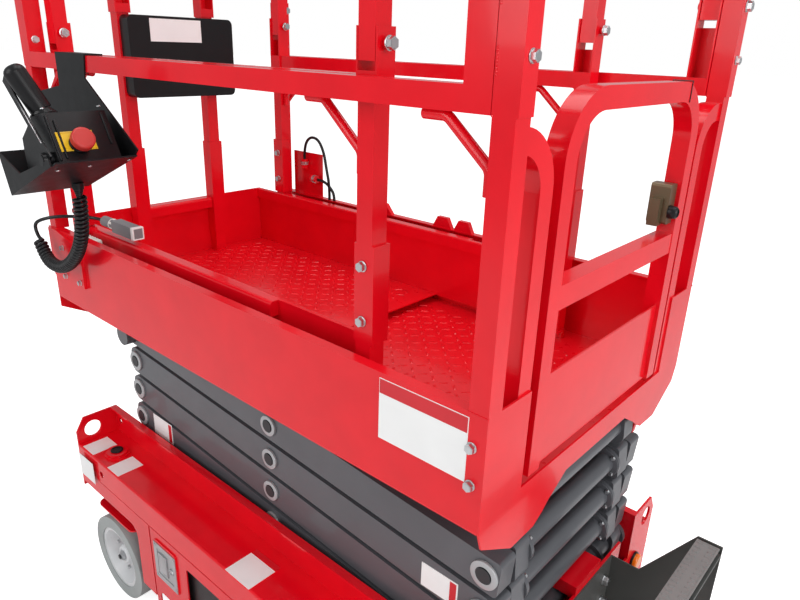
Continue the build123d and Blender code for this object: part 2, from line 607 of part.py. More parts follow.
def end_plates():
    """Rear and front end plates: returns beside the gate, lobes that hang below the deck."""
    outline = [(PLATFORM_HALF_Y, SIDE_TOP_Z), (252, SIDE_TOP_Z), (252, GATE_SILL_Z), (0, GATE_SILL_Z), (0, 778),
               *LOBE, (PLATFORM_HALF_Y, DECK_TOP_Z)]
    rear = profile_x(outline, PLATFORM_REAR_X - SHEET, PLATFORM_REAR_X)
    outline = [(0, DECK_TOP_Z), (0, 778), *LOBE[:-1], (PLATFORM_HALF_Y, FRONT_LOBE_Z),
               (PLATFORM_HALF_Y, DECK_TOP_Z)]
    front = profile_x(outline, PLATFORM_FRONT_X, PLATFORM_FRONT_X + SHEET)
    return [fuse(both_sides(rear)), fuse(both_sides(front))]


def deck_frame():
    """Main deck sheet with the longitudinal angles that rest on the top rollers."""
    deck = block(PLATFORM_FRONT_X + SHEET, PLATFORM_REAR_X - SHEET, -PLATFORM_HALF_Y, PLATFORM_HALF_Y,
                 DECK_TOP_Z - DECK_SHEET, DECK_TOP_Z)
    top_pin_z = PIN_BASE_Z + LEVELS * LEVEL_PITCH
    y0 = OUTER_ARM_Y + ARM_THICK + 3.5
    web = block(PLATFORM_FRONT_X + SHEET, PLATFORM_REAR_X - SHEET, y0 + 32, y0 + 37, top_pin_z + 25.3,
                DECK_TOP_Z - DECK_SHEET)
    track = block(PLATFORM_FRONT_X + SHEET, 0, y0, y0 + 37, top_pin_z + ROLLER_DIA / 2 + 0.3,
                  top_pin_z + ROLLER_DIA / 2 + 5)
    lug = profile_y([(ARM_RIGHT_X - 55, DECK_TOP_Z - DECK_SHEET), (ARM_RIGHT_X - 26, top_pin_z - 24),
                     (ARM_RIGHT_X + 26, top_pin_z - 24), (ARM_RIGHT_X + 39, DECK_TOP_Z - DECK_SHEET)],
                    TOP_LUG_Y, TOP_LUG_Y + 12)
    lug = cut(lug, rod_y(ARM_RIGHT_X, top_pin_z, TOP_LUG_Y - 1, TOP_LUG_Y + 13, PIN_DIA + 2 * RUN_FIT))
    ribs = [block(x, x + 30, -y0 - 32, y0 + 32, top_pin_z + 45, DECK_TOP_Z - DECK_SHEET) for x in (-560, -200, 160)]
    return fuse(deck, both_sides(fuse(web, track)), both_sides(lug), ribs)


def post(x, y, z0, z1):
    """A square post centred on x and y."""
    return block(x - TUBE / 2, x + TUBE / 2, y - TUBE / 2, y + TUBE / 2, z0, z1)


def socket(x, y, hinge_z, inward, base_z=None):
    """Channel on top of a lower post, open on its inner side, with the hinge bolt's cheeks."""
    base = SOCKET_BASE_Z if base_z is None else base_z
    half = TUBE / 2 + SOCKET_CLEAR
    x0, x1 = x - half - SOCKET_WALL, x + half + SOCKET_WALL
    face = y - inward * (TUBE / 2)
    y0, y1 = sorted((face, face + inward * (TUBE + 4)))
    web_y = sorted((face, face + inward * SOCKET_WALL))
    web = block(x0, x1, web_y[0], web_y[1], base, hinge_z - POST_FOOT - 12)
    cheeks = [block(a, a + SOCKET_WALL, y0, y1, base, hinge_z + 20) for a in (x0, x1 - SOCKET_WALL)]
    bolt = rod_x(y, hinge_z, x0 - 6, x1 + 6, HINGE_BOLT_DIA)
    plug = block(x0, x1, y0, y1, base, base + TUBE)
    return fuse(web, cheeks, plug, bolt)


def upper_post(x, y, hinge_z):
    """Upper post, bored for its hinge bolt."""
    column = post(x, y, hinge_z - POST_FOOT, TOP_RAIL_Z - 1)
    return column, rod_x(y, hinge_z, x - 40, x + 40, HINGE_BOLT_DIA + 2 * RUN_FIT)


def side_rail_upper(side, posts, rail_y, hinge_z):
    """Folding upper frame of a side: two posts, a top rail and a middle rail."""
    y = side * rail_y
    x0, x1 = posts[0] - TUBE / 2, posts[1] + TUBE / 2
    columns, bores = zip(*[upper_post(x, y, hinge_z) for x in posts])
    top = block(x0, x1, y - TUBE / 2, y + TUBE / 2, TOP_RAIL_Z - TUBE, TOP_RAIL_Z)
    return cut(fuse(list(columns), top), list(bores))


def brace(face_x, y, away, reach):
    """Round corner brace between a post's face and the underside of the middle rail, ends bent flat."""
    top, low = MID_RAIL_TOP_Z - TUBE - BRACE_DIA / 2 + 1, MID_RAIL_TOP_Z - TUBE - reach - 20
    near = face_x + away * (BRACE_DIA / 2 - 1)
    far = face_x + away * reach
    path = FilletPolyline((far + away * 34, y, top), (far, y, top), (near, y, low + 30), (near, y, low), radius=16)
    start = Plane(origin=path @ 0, z_dir=path % 0)
    return sweep(start * Circle(BRACE_DIA / 2), path=path)


def main_lower_rail(side):
    """Fixed lower side rail: corner posts, middle rail, sockets, braces and the gate's loop."""
    inward = -side
    y = side * RAIL_Y
    hinge_z = FOLD_NEAR_MAIN_Z if side < 0 else FOLD_FAR_MAIN_Z
    front = post(MAIN_POSTS[0], y, SIDE_TOP_Z, SOCKET_BASE_Z + 1)
    rear = post(CORNER_X, y, SIDE_TOP_Z, SOCKET_BASE_Z + 1)
    foot = block(CORNER_X - TUBE / 2, PLATFORM_REAR_X - SHEET, *sorted((y - inward * 12, y + inward * 15)),
                 DECK_TOP_Z, SIDE_TOP_Z + 1)
    rail = block(MAIN_POSTS[0], MAIN_POSTS[1], y - TUBE / 2, y + TUBE / 2, MID_RAIL_TOP_Z - TUBE, MID_RAIL_TOP_Z)
    corner = block(MAIN_POSTS[1] + 20, PLATFORM_REAR_X + 3, y - TUBE / 2, y + TUBE / 2, SOCKET_BASE_Z,
                   FOLD_END_Z + 22)
    sockets = [socket(x, y, hinge_z, inward) for x in MAIN_POSTS]
    braces = [brace(MAIN_POSTS[0] + TUBE / 2, y, 1, 105), brace(CORNER_X - TUBE / 2, y, -1, REAR_BRACE_REACH)]
    bolt = rod_y(CORNER_X, FOLD_END_Z, REAR_POST_Y - TUBE / 2 - 8, RAIL_Y + TUBE / 2 + 6, HINGE_BOLT_DIA)
    spacer = rod_y(CORNER_X, FOLD_END_Z, REAR_POST_Y + TUBE / 2 + 1, RAIL_Y, 24)
    hinge = fuse(bolt, spacer)
    if side < 0:
        hinge = mirror(hinge, Plane.XZ)
    pins = gate_hinge_pins() if side < 0 else []
    return fuse(front, rear, foot, rail, corner, sockets, braces, hinge, gate_loop(side), pins)


def ext_lower_rail(side):
    """Extension's lower side rail: posts in sleeves, middle rail, sockets and braces."""
    inward = -side
    y = side * EXT_RAIL_Y
    hinge_z = FOLD_NEAR_EXT_Z if side < 0 else FOLD_FAR_EXT_Z
    posts = [post(x, y, EXT_DECK_TOP_Z, SOCKET_BASE_Z + 1) for x in EXT_POSTS]
    sleeves = [block(x - SLEEVE / 2, x + SLEEVE / 2, *sorted((y - inward * 15, y + inward * SLEEVE / 2)),
                     EXT_TOE_TOP_Z + 4, SLEEVE_TOP_Z)
               for x in EXT_POSTS]
    rail = block(EXT_POSTS[0], EXT_POSTS[1], y - 15, y + 15, MID_RAIL_TOP_Z - TUBE, MID_RAIL_TOP_Z)
    sockets = [socket(x, y, hinge_z, inward) for x in EXT_POSTS]
    braces = [brace(EXT_POSTS[0] + TUBE / 2, y, 1, 82), brace(EXT_POSTS[1] - TUBE / 2, y, -1, 82)]
    return fuse(posts, sleeves, rail, sockets, braces)


def ext_deck():
    """Extension deck sheet with side strips that reach back to the rear posts."""
    low = EXT_DECK_TOP_Z - 3
    out = EXT_RAIL_Y + TUBE / 2
    deck = block(EXT_FRONT_X + SHEET, EXT_REAR_X, -out, out, low, EXT_DECK_TOP_Z)
    rear = EXT_POST_REAR_X + SLEEVE / 2
    strips = both_sides(block(EXT_REAR_X - 1, rear, EXT_TOE_Y, out, low, EXT_DECK_TOP_Z))
    skids = both_sides(block(EXT_FRONT_X + SHEET, rear, out - 14, out - 4, DECK_TOP_Z + 0.3, low + 1))
    return fuse(deck, strips, skids)


def ext_toe():
    """Extension's toe boards on three sides."""
    y = EXT_TOE_Y
    side = block(EXT_FRONT_X, EXT_POST_REAR_X, y, y + SHEET, EXT_DECK_TOP_Z, EXT_TOE_TOP_Z)
    low = EXT_TOE_TOP_Z - TOE_ROLL
    inner = block(EXT_FRONT_X, EXT_POST_REAR_X, y - TOE_ROLL_IN, y + SHEET, low, EXT_TOE_TOP_Z)
    outer = block(EXT_POST_FRONT_X + SLEEVE / 2 + 1, TOE_ROLL_END_X, y - TOE_ROLL_IN,
                  y - TOE_ROLL_IN + TOE_ROLL, low, EXT_TOE_TOP_Z)
    inner = fillet(inner.edges().filter_by(Axis.X).group_by(Axis.Z)[-1], TOE_ROLL_R / 2)
    outer = fillet(outer.edges().filter_by(Axis.X).group_by(Axis.Z)[-1], TOE_ROLL_R)
    front = block(EXT_FRONT_X, EXT_FRONT_X + SHEET, -y, y, EXT_DECK_TOP_Z - 60, EXT_TOE_TOP_Z)
    lip_y = FRONT_POST_YS[1] - SLEEVE / 2 - 1
    lip = block(EXT_FRONT_X, EXT_FRONT_X + TOE_ROLL + SHEET, -lip_y, lip_y, low, EXT_TOE_TOP_Z)
    lip = fillet(lip.edges().filter_by(Axis.Y).group_by(Axis.Z)[-1], TOE_ROLL_R)
    return fuse(both_sides(fuse(side, inner, outer)), front, lip)


def y_socket(x, y, hinge_z, base_z, inward):
    """Channel like socket(), for a post that folds about an axis along Y."""
    half = TUBE / 2 + SOCKET_CLEAR
    y0, y1 = y - half - SOCKET_WALL, y + half + SOCKET_WALL
    face = x - inward * TUBE / 2
    x0, x1 = sorted((face, face + inward * (TUBE + 4)))
    web = sorted((face, face + inward * SOCKET_WALL))
    return fuse(block(web[0], web[1], y0, y1, base_z, hinge_z - POST_FOOT - 12),
                [block(x0, x1, a, a + SOCKET_WALL, base_z, hinge_z + 20) for a in (y0, y1 - SOCKET_WALL)],
                block(x0, x1, y0, y1, base_z, base_z + 20), rod_y(x, hinge_z, y0 - 6, y1 + 6, HINGE_BOLT_DIA))


def front_lower_posts():
    """Extension's front posts in sleeves, with sockets for the folding front rail."""
    parts = []
    for y in FRONT_POST_YS:
        parts.append(post(FRONT_POST_X, y, EXT_DECK_TOP_Z, FRONT_SOCKET_Z + 1))
        parts.append(block(FRONT_POST_X - TUBE / 2, FRONT_POST_X + SLEEVE / 2, y - SLEEVE / 2, y + SLEEVE / 2,
                           880, SLEEVE_TOP_Z))
        parts.append(y_socket(FRONT_POST_X, y, FOLD_END_Z, FRONT_SOCKET_Z, 1))
    return fuse(parts)


def front_rail_upper():
    """Folding front rail of the extension."""
    x = FRONT_POST_X
    top = block(x - TUBE / 2, x + TUBE / 2, -278, 278, TOP_RAIL_Z - TUBE, TOP_RAIL_Z)
    posts = [post(x, y, FOLD_END_Z - POST_FOOT, TOP_RAIL_Z - 1) for y in FRONT_POST_YS]
    return cut(fuse(posts, top), rod_y(x, FOLD_END_Z, -200, 200, HINGE_BOLT_DIA + 2 * RUN_FIT))


def rear_rail_upper():
    """Folding rear rail over the gate."""
    x, out = CORNER_X, REAR_POST_Y + TUBE / 2
    top = block(x - TUBE / 2, x + TUBE / 2, -out, out, TOP_RAIL_Z - TUBE, TOP_RAIL_Z)
    posts = [post(x, y, FOLD_END_Z - POST_FOOT, TOP_RAIL_Z - 1) for y in (-REAR_POST_Y, REAR_POST_Y)]
    return cut(fuse(posts, top), rod_y(x, FOLD_END_Z, -300, 300, HINGE_BOLT_DIA + 2 * RUN_FIT))


def gate_loop(side):
    """Fixed bent tube between the corner post and the deck, beside the gate."""
    x = PLATFORM_REAR_X - SHEET - LOOP / 2
    y = GATE_NEAR_Y - GATE_GAP - LOOP / 2 if side < 0 else GATE_FAR_Y + GATE_GAP + LOOP / 2
    start_y = side * (RAIL_Y - 5)
    path = FilletPolyline((x, start_y, LOOP_TOP_Z), (x, y, LOOP_TOP_Z), (x, y, DECK_TOP_Z), radius=LOOP_BEND)
    start = Plane(origin=path @ 0, z_dir=path % 0)
    return sweep(start * Rectangle(LOOP, LOOP), path=path)


def gate():
    """Half-height swing gate: bent tube, cross tube and toe panel."""
    x, w = CORNER_X, TUBE
    top, bottom = 1345, 829
    ys, ye = GATE_NEAR_Y + w / 2, GATE_FAR_Y - w / 2
    path = FilletPolyline((x, ys, bottom), (x, ys, top), (x, ye, top), (x, ye, bottom), radius=78)
    start = Plane(origin=path @ 0, z_dir=path % 0)
    frame = sweep(start * Rectangle(w, w), path=path)
    cross = block(x - 14, x + 14, ys, ye, 1075, 1110)
    toe = block(x + 5, x + 8, ys, ye, bottom, 975)
    leaves, bores = [], []
    for z0, z1 in GATE_HINGES:
        seat = z0 + GATE_SEAT + HINGE_SEAT_GAP
        leaves.append(rod_z(GATE_AXIS_X, GATE_AXIS_Y, seat, z1, HINGE_BARREL))
        leaves.append(block(GATE_AXIS_X - 2, GATE_AXIS_X + 3, GATE_AXIS_Y, GATE_NEAR_Y + 1, seat, z1))
        bores.append(rod_z(GATE_AXIS_X, GATE_AXIS_Y, z0, z1 + 1, HINGE_PIN + 2 * RUN_FIT))
    return cut(fuse(frame, cross, toe, leaves), bores)


def gate_hinge_pins():
    """Fixed halves of the gate's hinges, with their pins, on the near loop."""
    fixed = []
    for z0, z1 in GATE_HINGES:
        seat = z0 + GATE_SEAT
        fixed.append(rod_z(GATE_AXIS_X, GATE_AXIS_Y, z0, seat, HINGE_BARREL))
        fixed.append(rod_z(GATE_AXIS_X, GATE_AXIS_Y, z0, z1, HINGE_PIN))
        fixed.append(block(GATE_AXIS_X - 2, GATE_AXIS_X + 3, GATE_NEAR_Y - GATE_GAP - 1, GATE_AXIS_Y, z0, seat))
    return fixed


# ---------------------------------------------------------------- ladder and side doors
def ladder():
    """Bolt-on entry step: two side walls, a lower and an upper tread."""
    x0 = HALF_L
    wall = [(x0, 120), (x0 + 70, 120), (LADDER_REAR_X, 300), (LADDER_REAR_X, LADDER_TOP_Z),
            (LADDER_REAR_X - 44, LADDER_TOP_Z), (x0 + 58, 437), (x0, 437)]
    walls = both_sides(profile_y(wall, LADDER_HALF_Y - 3, LADDER_HALF_Y))
    back = block(x0, x0 + 3, -LADDER_HALF_Y, LADDER_HALF_Y, 150, 437)
    treads = [block(LADDER_REAR_X - 44, LADDER_REAR_X, -LADDER_HALF_Y, LADDER_HALF_Y, 552, 558),
              block(x0, x0 + 70, -LADDER_HALF_Y, LADDER_HALF_Y, 180, 186)]
    return fuse(walls, back, treads)


def door_hinge_pins():
    """Fixed halves of a side door's hinges, with their pins, on the skirt."""
    fixed = []
    for z in DOOR_HINGES:
        fixed.append(rod_z(DOOR_AXIS_X, DOOR_AXIS_Y, z, z + DOOR_SEAT, DOOR_BARREL))
        fixed.append(rod_z(DOOR_AXIS_X, DOOR_AXIS_Y, z, z + 40, DOOR_PIN))
        fixed.append(block(DOOR_AXIS_X, DOOR_AXIS_X + 16, HALF_W - 1, DOOR_AXIS_Y, z, z + DOOR_SEAT))
    return fuse(fixed)


def side_door(side):
    """Swing-out side door: folded sheet panel with a hand hole and a window."""
    y = HALF_W
    x0, x1 = DOOR_FRONT_X + DOOR_GAP, DOOR_REAR_X - DOOR_GAP
    panel = block(x0, x1, y - 1 - DOOR_SHEET, y - 1, 90, DOOR_TOP_Z - DOOR_GAP)
    window = block(-119, x1 - 60, y - 10, y + 5, 130, 297)
    window = fillet(window.edges().filter_by(Axis.Y), 8)
    notch = block(x0 + 18, x0 + 80, y - 10, y + 5, 60, 146)
    notch = fillet(notch.edges().filter_by(Axis.Y), 14)
    latch = block(x0 + 18, x0 + 112, y - 2, y + 2, 194, 308)
    latch = fillet(latch.edges().filter_by(Axis.Y), 8)
    panel = fuse(cut(panel, window, notch), latch)
    tray = block(x0 + 30, x1 - 30, INNER_WALL_Y + WALL + 12, y - 3, 90, 94)
    knuckles = []
    for z in DOOR_HINGES:
        seat = z + DOOR_SEAT + HINGE_SEAT_GAP
        leaf = fuse(rod_z(DOOR_AXIS_X, DOOR_AXIS_Y, seat, z + 40, DOOR_BARREL),
                    block(DOOR_AXIS_X - 14, DOOR_AXIS_X, y - 2, DOOR_AXIS_Y, seat, z + 40))
        knuckles.append(cut(leaf, rod_z(DOOR_AXIS_X, DOOR_AXIS_Y, z, z + 41, DOOR_PIN + 2 * RUN_FIT)))
    whole = fuse(panel, tray, knuckles)
    return mirror(whole, Plane.XZ) if side < 0 else whole


def battery(side):
    """Battery block on the swing-out tray."""
    x0, x1 = DOOR_FRONT_X + 60, DOOR_REAR_X - 70
    case = block(x0, x1, INNER_WALL_Y + WALL + 14, HALF_W - 12, 94, 290)
    return mirror(case, Plane.XZ) if side < 0 else case


# ---------------------------------------------------------------- control box and cord
def on_tray(shape):
    """Place a shape drawn along the tray's floor, from its lower end, onto the hung tray."""
    return Pos(TRAY_FOOT_X, 0, TRAY_FOOT_Z) * Rot(0, -TRAY_TILT, 0) * shape


def control_bracket():
    """Sheet hanger over the near middle rail: strap, flared back plate, tilted tray with its side lip."""
    outer, inner = RAIL_Y + TUBE / 2 + STRAP_GAP, RAIL_Y - TUBE / 2 - STRAP_GAP
    top = MID_RAIL_TOP_Z + STRAP_GAP
    x0, x1 = STRAP_X
    hook = fuse(block(x0, x1, -outer - SHEET, -inner + SHEET, top, top + SHEET),
                block(x0, x1, -inner, -inner + SHEET, top - 24, top + SHEET))
    back = [(x0, top + SHEET), (x0, 1300), (-594, 1279), (-600, 1240), (TRAY_FOOT_X, TRAY_FOOT_Z),
            (-190, 1194), (-178, 1206), (-352, 1320), (x1, top + SHEET)]
    back = profile_y(back, -outer - SHEET, -outer)
    floor = block(0, TRAY_LENGTH, -TRAY_Y, -outer, -SHEET, 0)
    end = block(0, SHEET, -TRAY_Y, -outer, -SHEET, TRAY_LIP)
    lip = profile_y([(0, -SHEET), (TRAY_LENGTH - 17, -SHEET), (TRAY_LENGTH - 17, 10), (72, 22), (0, TRAY_LIP)],
                    -TRAY_Y - SHEET, -TRAY_Y)
    gland = rod_z(CORD_EXIT[0], CORD_EXIT[1], CORD_EXIT[2], CORD_EXIT[2] + 12, 22)
    return fuse(hook, back, on_tray(fuse(floor, end, lip)), gland)


def control_box():
    """Control box that sits in the tray: sloped button face, flat top with the joystick's collar."""
    y0, y1 = BOX_Y
    outline = [(70, 0.5), (BOX_U, 0.5), (BOX_U - 14, 93), (157, 100), (88, 82), (80, 62), (70, 21)]
    case = profile_y(outline, y0, y1)
    case = fillet(case.edges().filter_by(Axis.Y).group_by(Axis.Z)[-1], 3)
    collar = rod_z(STICK_U, STICK_Y, 94, 103, 46)
    knob = rod_y(187, 16, y0 - 8, y0 + 1, 26)
    guard = profile_y([(198, 8), (212, 16), (122, 186), (108, 180)], y0 - 11, y0 - 8)
    return on_tray(fuse(case, collar, knob, guard))


def joystick():
    """Joystick grip with a rounded head, standing on its collar and leaning outwards."""
    grip = Cylinder(STICK_DIA / 2, STICK_LENGTH, align=(Align.CENTER, Align.CENTER, Align.MIN))
    grip = fillet(grip.edges().group_by(Axis.Z)[-1], STICK_DIA / 2 - 5)
    stem = Pos(0, 0, -1) * Cylinder(9, 12, align=(Align.CENTER, Align.CENTER, Align.MIN))
    grip = Rot(STICK_LEAN, 0, 0) * Pos(0, 0, 9) * grip
    foot = block(-30, 30, -30, 30, -40, 0)
    return on_tray(Pos(STICK_U, STICK_Y, 103) * cut(fuse(grip, Rot(STICK_LEAN / 2, 0, 0) * stem), foot))


def stop_button():
    """Mushroom stop button on the sloped face."""
    stem = Cylinder(11, 16, align=(Align.CENTER, Align.CENTER, Align.MIN))
    head = Pos(0, 0, 15) * Cylinder(STOP_DIA / 2, 14, align=(Align.CENTER, Align.CENTER, Align.MIN))
    head = fillet(head.edges().group_by(Axis.Z)[-1], 4)
    lean = math.degrees(math.atan2(14, 92.5))
    along = BOX_U - (STOP_V - 0.5) * 14 / 92.5
    return on_tray(Pos(along, STOP_Y, STOP_V) * Rot(0, 90 - lean, 0) * fuse(stem, head))


def cord_between(name, points, dia):
    """A round cord along points, bent with a tangent arc at each inner point."""
    corners = [Vector(*p) for p in points]
    radii = []
    for a, b, c in zip(corners, corners[1:], corners[2:]):
        turn = math.radians((b - a).get_angle(c - b))
        radii.append(round(0.45 * min((b - a).length, (c - b).length) / math.tan(turn / 2), 1))
    path = FilletPolyline(*points, radius=radii)
    start = Plane(origin=path @ 0, z_dir=path % 0)
    cord = sweep(start * Circle(dia / 2), path=path)
    want = math.pi * dia * dia / 4 * path.length
    print(name, "length", round(path.length), "radii", radii, "volume share", round(cord.volume / want, 4))
    return cord


def cord_plug():
    """Ribbed gland and plug at the end of the lead."""
    x, y, z = LEAD_PATH[-1]
    gland = rod_x(y, z, x, x + 54, 24)
    body = block(x + 53, x + 148, y - 12, y + 12, z - 13, z + 13)
    return fuse(gland, body)


# ---------------------------------------------------------------- far side outlets
def outlet_plate():
    """Upright plate on the far panel's lip with two cable connectors."""
    y = PLATFORM_HALF_Y
    plate = block(OUTLET_X[0], OUTLET_X[1], y - SHEET, y, SIDE_TOP_Z, OUTLET_TOP_Z)
    x1, y1, z1 = OUTLET_CORDS[0][-1]
    x2, y2, z2 = OUTLET_CORDS[1][0]
    upright = fuse(rod_z(x1, y1, z1 - 26, z1, 20), block(x1 - 7, x1 + 7, y1, y - 1, z1 - 22, z1 - 8))
    level = fuse(rod_x(y2, z2, x2 - 26, x2, 20), block(x2 - 20, x2 - 6, y2, y - 1, z2 - 7, z2 + 7))
    return fuse(plate, upright, level)


def document_box():
    """Manual holder on the extension's front posts."""
    face = FRONT_POST_X + TUBE / 2
    box = block(face, face + DOCUMENT_BOX_DEPTH, *DOCUMENT_BOX_Y, *DOCUMENT_BOX_Z)
    return fillet(box.edges().filter_by(Axis.X), 14)


def gate_latch():
    """Latch case and lever on the inner face of the gate's far stile."""
    y = GATE_FAR_Y - TUBE
    case = block(CORNER_X - 26, CORNER_X + 8, y - 27, y, 1128, 1196)
    case = fillet(case.edges().filter_by(Axis.X), 5)
    lever = block(CORNER_X - 20, CORNER_X - 2, y - 40, y - 20, 1126, 1172)
    return fuse(case, lever)


def nylon_slider():
    """Nylon guide block inside the near panel that the extension's posts run past."""
    y = PLATFORM_HALF_Y - SHEET
    return block(-560, -450, -y, -EXT_RAIL_Y - TUBE / 2 - 6, SIDE_TOP_Z - 44, SIDE_TOP_Z - SHEET)


def side_lamp():
    """Round lamp on the far rear end plate."""
    lens = rod_x(308, 326, HALF_L, HALF_L + 14, 36)
    return fillet(lens.edges().group_by(Axis.X)[-1], 5)


# ---------------------------------------------------------------- write every node
save("chassis_tub", chassis_tub())
save("side_skirts", both_sides(side_skirt()))
save("scissor_base", scissor_base())
save("axle_supports", [front_axle_beam(), *both_sides(rear_axle())])
save("side_lamp", side_lamp())
save("ladder", ladder())
for name, axle_x, side in WHEELS:
    tyre, rim = wheel(axle_x, side)
    save(f"tyre_{name}", tyre)
    save(f"rim_{name}", rim)
save("knuckle_right", knuckle(-1))
save("knuckle_left", knuckle(1))
save("tie_rod", tie_rod())
for level in range(1, LEVELS + 1):
    save(f"outer_arms_{level}", outer_level(level))
    save(f"inner_arms_{level}", inner_level(level))
save("lift_barrel", lift_barrel())
save("lift_rod", lift_rod())
save("platform_deck", deck_frame())
save("side_panels", [side_panel(-1), side_panel(1)])
save("end_plates", end_plates())
save("main_rails_lower", [main_lower_rail(-1), main_lower_rail(1)])
save("main_rail_upper_right", side_rail_upper(-1, MAIN_POSTS, RAIL_Y, FOLD_NEAR_MAIN_Z))
save("main_rail_upper_left", side_rail_upper(1, MAIN_POSTS, RAIL_Y, FOLD_FAR_MAIN_Z))
save("rear_rail_upper", rear_rail_upper())
save("gate", gate())
save("gate_latch", gate_latch())
save("ext_deck", ext_deck())
save("ext_toe_boards", ext_toe())
save("ext_rails_lower", [ext_lower_rail(-1), ext_lower_rail(1)])
save("ext_front_posts", front_lower_posts())
save("ext_rail_upper_right", side_rail_upper(-1, EXT_POSTS, EXT_RAIL_Y, FOLD_NEAR_EXT_Z))
save("ext_rail_upper_left", side_rail_upper(1, EXT_POSTS, EXT_RAIL_Y, FOLD_FAR_EXT_Z))
save("ext_rail_upper_front", front_rail_upper())
save("side_door_right", side_door(-1))
save("side_door_left", side_door(1))
save("battery_right", battery(-1))
save("battery_left", battery(1))
save("control_box", control_box())
save("control_bracket", control_bracket())
save("document_box", document_box())
save("joystick", joystick())
save("stop_button", stop_button())
save("coil_cord", cord_between("coil_cord", COIL_PATH, COIL_DIA))
save("lead_cord", cord_between("lead_cord", LEAD_PATH, CORD_DIA))
save("cord_plug", cord_plug())
save("outlet_plate", outlet_plate())
save("outlet_cables", [cord_between("outlet_cable", path, CORD_DIA) for path in OUTLET_CORDS])
save("nylon_slider", nylon_slider())
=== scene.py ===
# %% [markdown]
# # A small scissor lift, dressed for its portrait
# The machine arrives as plain solids, each at its real place. This file gives them their paint, steel and
# rubber, adds the small pieces that a solid modeller skips, and sets up the floor, the light and the camera.
# Sizes are typed in millimetres, as on a workshop drawing, and turned into Blender's metres by one helper.

# %% Load the solids
import bpy
import math
from mathutils import Matrix, Vector


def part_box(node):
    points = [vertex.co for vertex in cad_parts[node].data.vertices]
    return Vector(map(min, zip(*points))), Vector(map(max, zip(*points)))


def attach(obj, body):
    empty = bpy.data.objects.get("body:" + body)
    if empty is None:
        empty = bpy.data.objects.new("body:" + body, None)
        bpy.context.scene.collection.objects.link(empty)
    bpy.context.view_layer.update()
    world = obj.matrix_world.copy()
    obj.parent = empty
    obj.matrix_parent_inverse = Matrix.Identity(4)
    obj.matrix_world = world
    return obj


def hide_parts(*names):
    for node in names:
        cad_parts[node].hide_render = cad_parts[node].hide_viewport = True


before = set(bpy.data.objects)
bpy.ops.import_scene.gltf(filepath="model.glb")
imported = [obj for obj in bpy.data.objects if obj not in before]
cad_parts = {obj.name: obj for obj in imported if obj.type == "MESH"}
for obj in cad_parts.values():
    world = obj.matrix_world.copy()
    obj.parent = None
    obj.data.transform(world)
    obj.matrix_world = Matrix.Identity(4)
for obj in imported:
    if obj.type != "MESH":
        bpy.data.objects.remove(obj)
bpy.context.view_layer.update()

MM = 0.001


def at(x, y, z):
    """A place typed in millimetres."""
    return Vector((x, y, z)) * MM


# %% [markdown]
# ## The camera
# It stands at the machine's rear right corner, a little above the guard rail's middle bar, and looks down
# into the platform. Heading, dip and tilt are given as angles, and the turn is built from them in that order,
# because an Euler triple typed by hand is hard to read back.

# %% Place the camera
CAMERA_AT = Vector((0.985, -0.966, 1.397))
HEADING = math.radians(40.686)
DIP = math.radians(20.85)
TILT = math.radians(1.964)
LENS_MM = 30.01

camera_data = bpy.data.cameras.new("camera")
camera_data.lens = LENS_MM
camera_data.sensor_width = 36.0
camera_data.clip_start = 0.02
camera = bpy.data.objects.new("camera", camera_data)
bpy.context.scene.collection.objects.link(camera)
turn = (Matrix.Rotation(HEADING, 4, "Z") @ Matrix.Rotation(math.pi / 2 - DIP, 4, "X")
        @ Matrix.Rotation(TILT, 4, "Z"))
camera.matrix_world = Matrix.Translation(CAMERA_AT) @ turn
bpy.context.scene.camera = camera
print("camera looks along", [round(v, 3) for v in turn.to_3x3() @ Vector((0, 0, -1))])

# %% [markdown]
# ## One recipe for every finish
# Real paint, rubber and plastic are never one flat colour. Each finish starts from a Principled shader, and
# three noises on Object coordinates break it up: a broad one shifts the tone, a middle one the gloss, and a
# fine one gives the surface its grain as bump. Object coordinates are in metres, so a grain has a real size,
# and it stays on the piece when the machine moves.

# %% The recipe
BROAD_MM = 90.0
PATCH_MM = 24.0


def noise_on(tree, coordinates, size_mm, detail=3.0):
    """A noise whose lumps are about size_mm across."""
    noise = tree.nodes.new("ShaderNodeTexNoise")
    noise.inputs["Scale"].default_value = 1000.0 / size_mm
    noise.inputs["Detail"].default_value = detail
    tree.links.new(coordinates.outputs["Object"], noise.inputs["Vector"])
    return noise


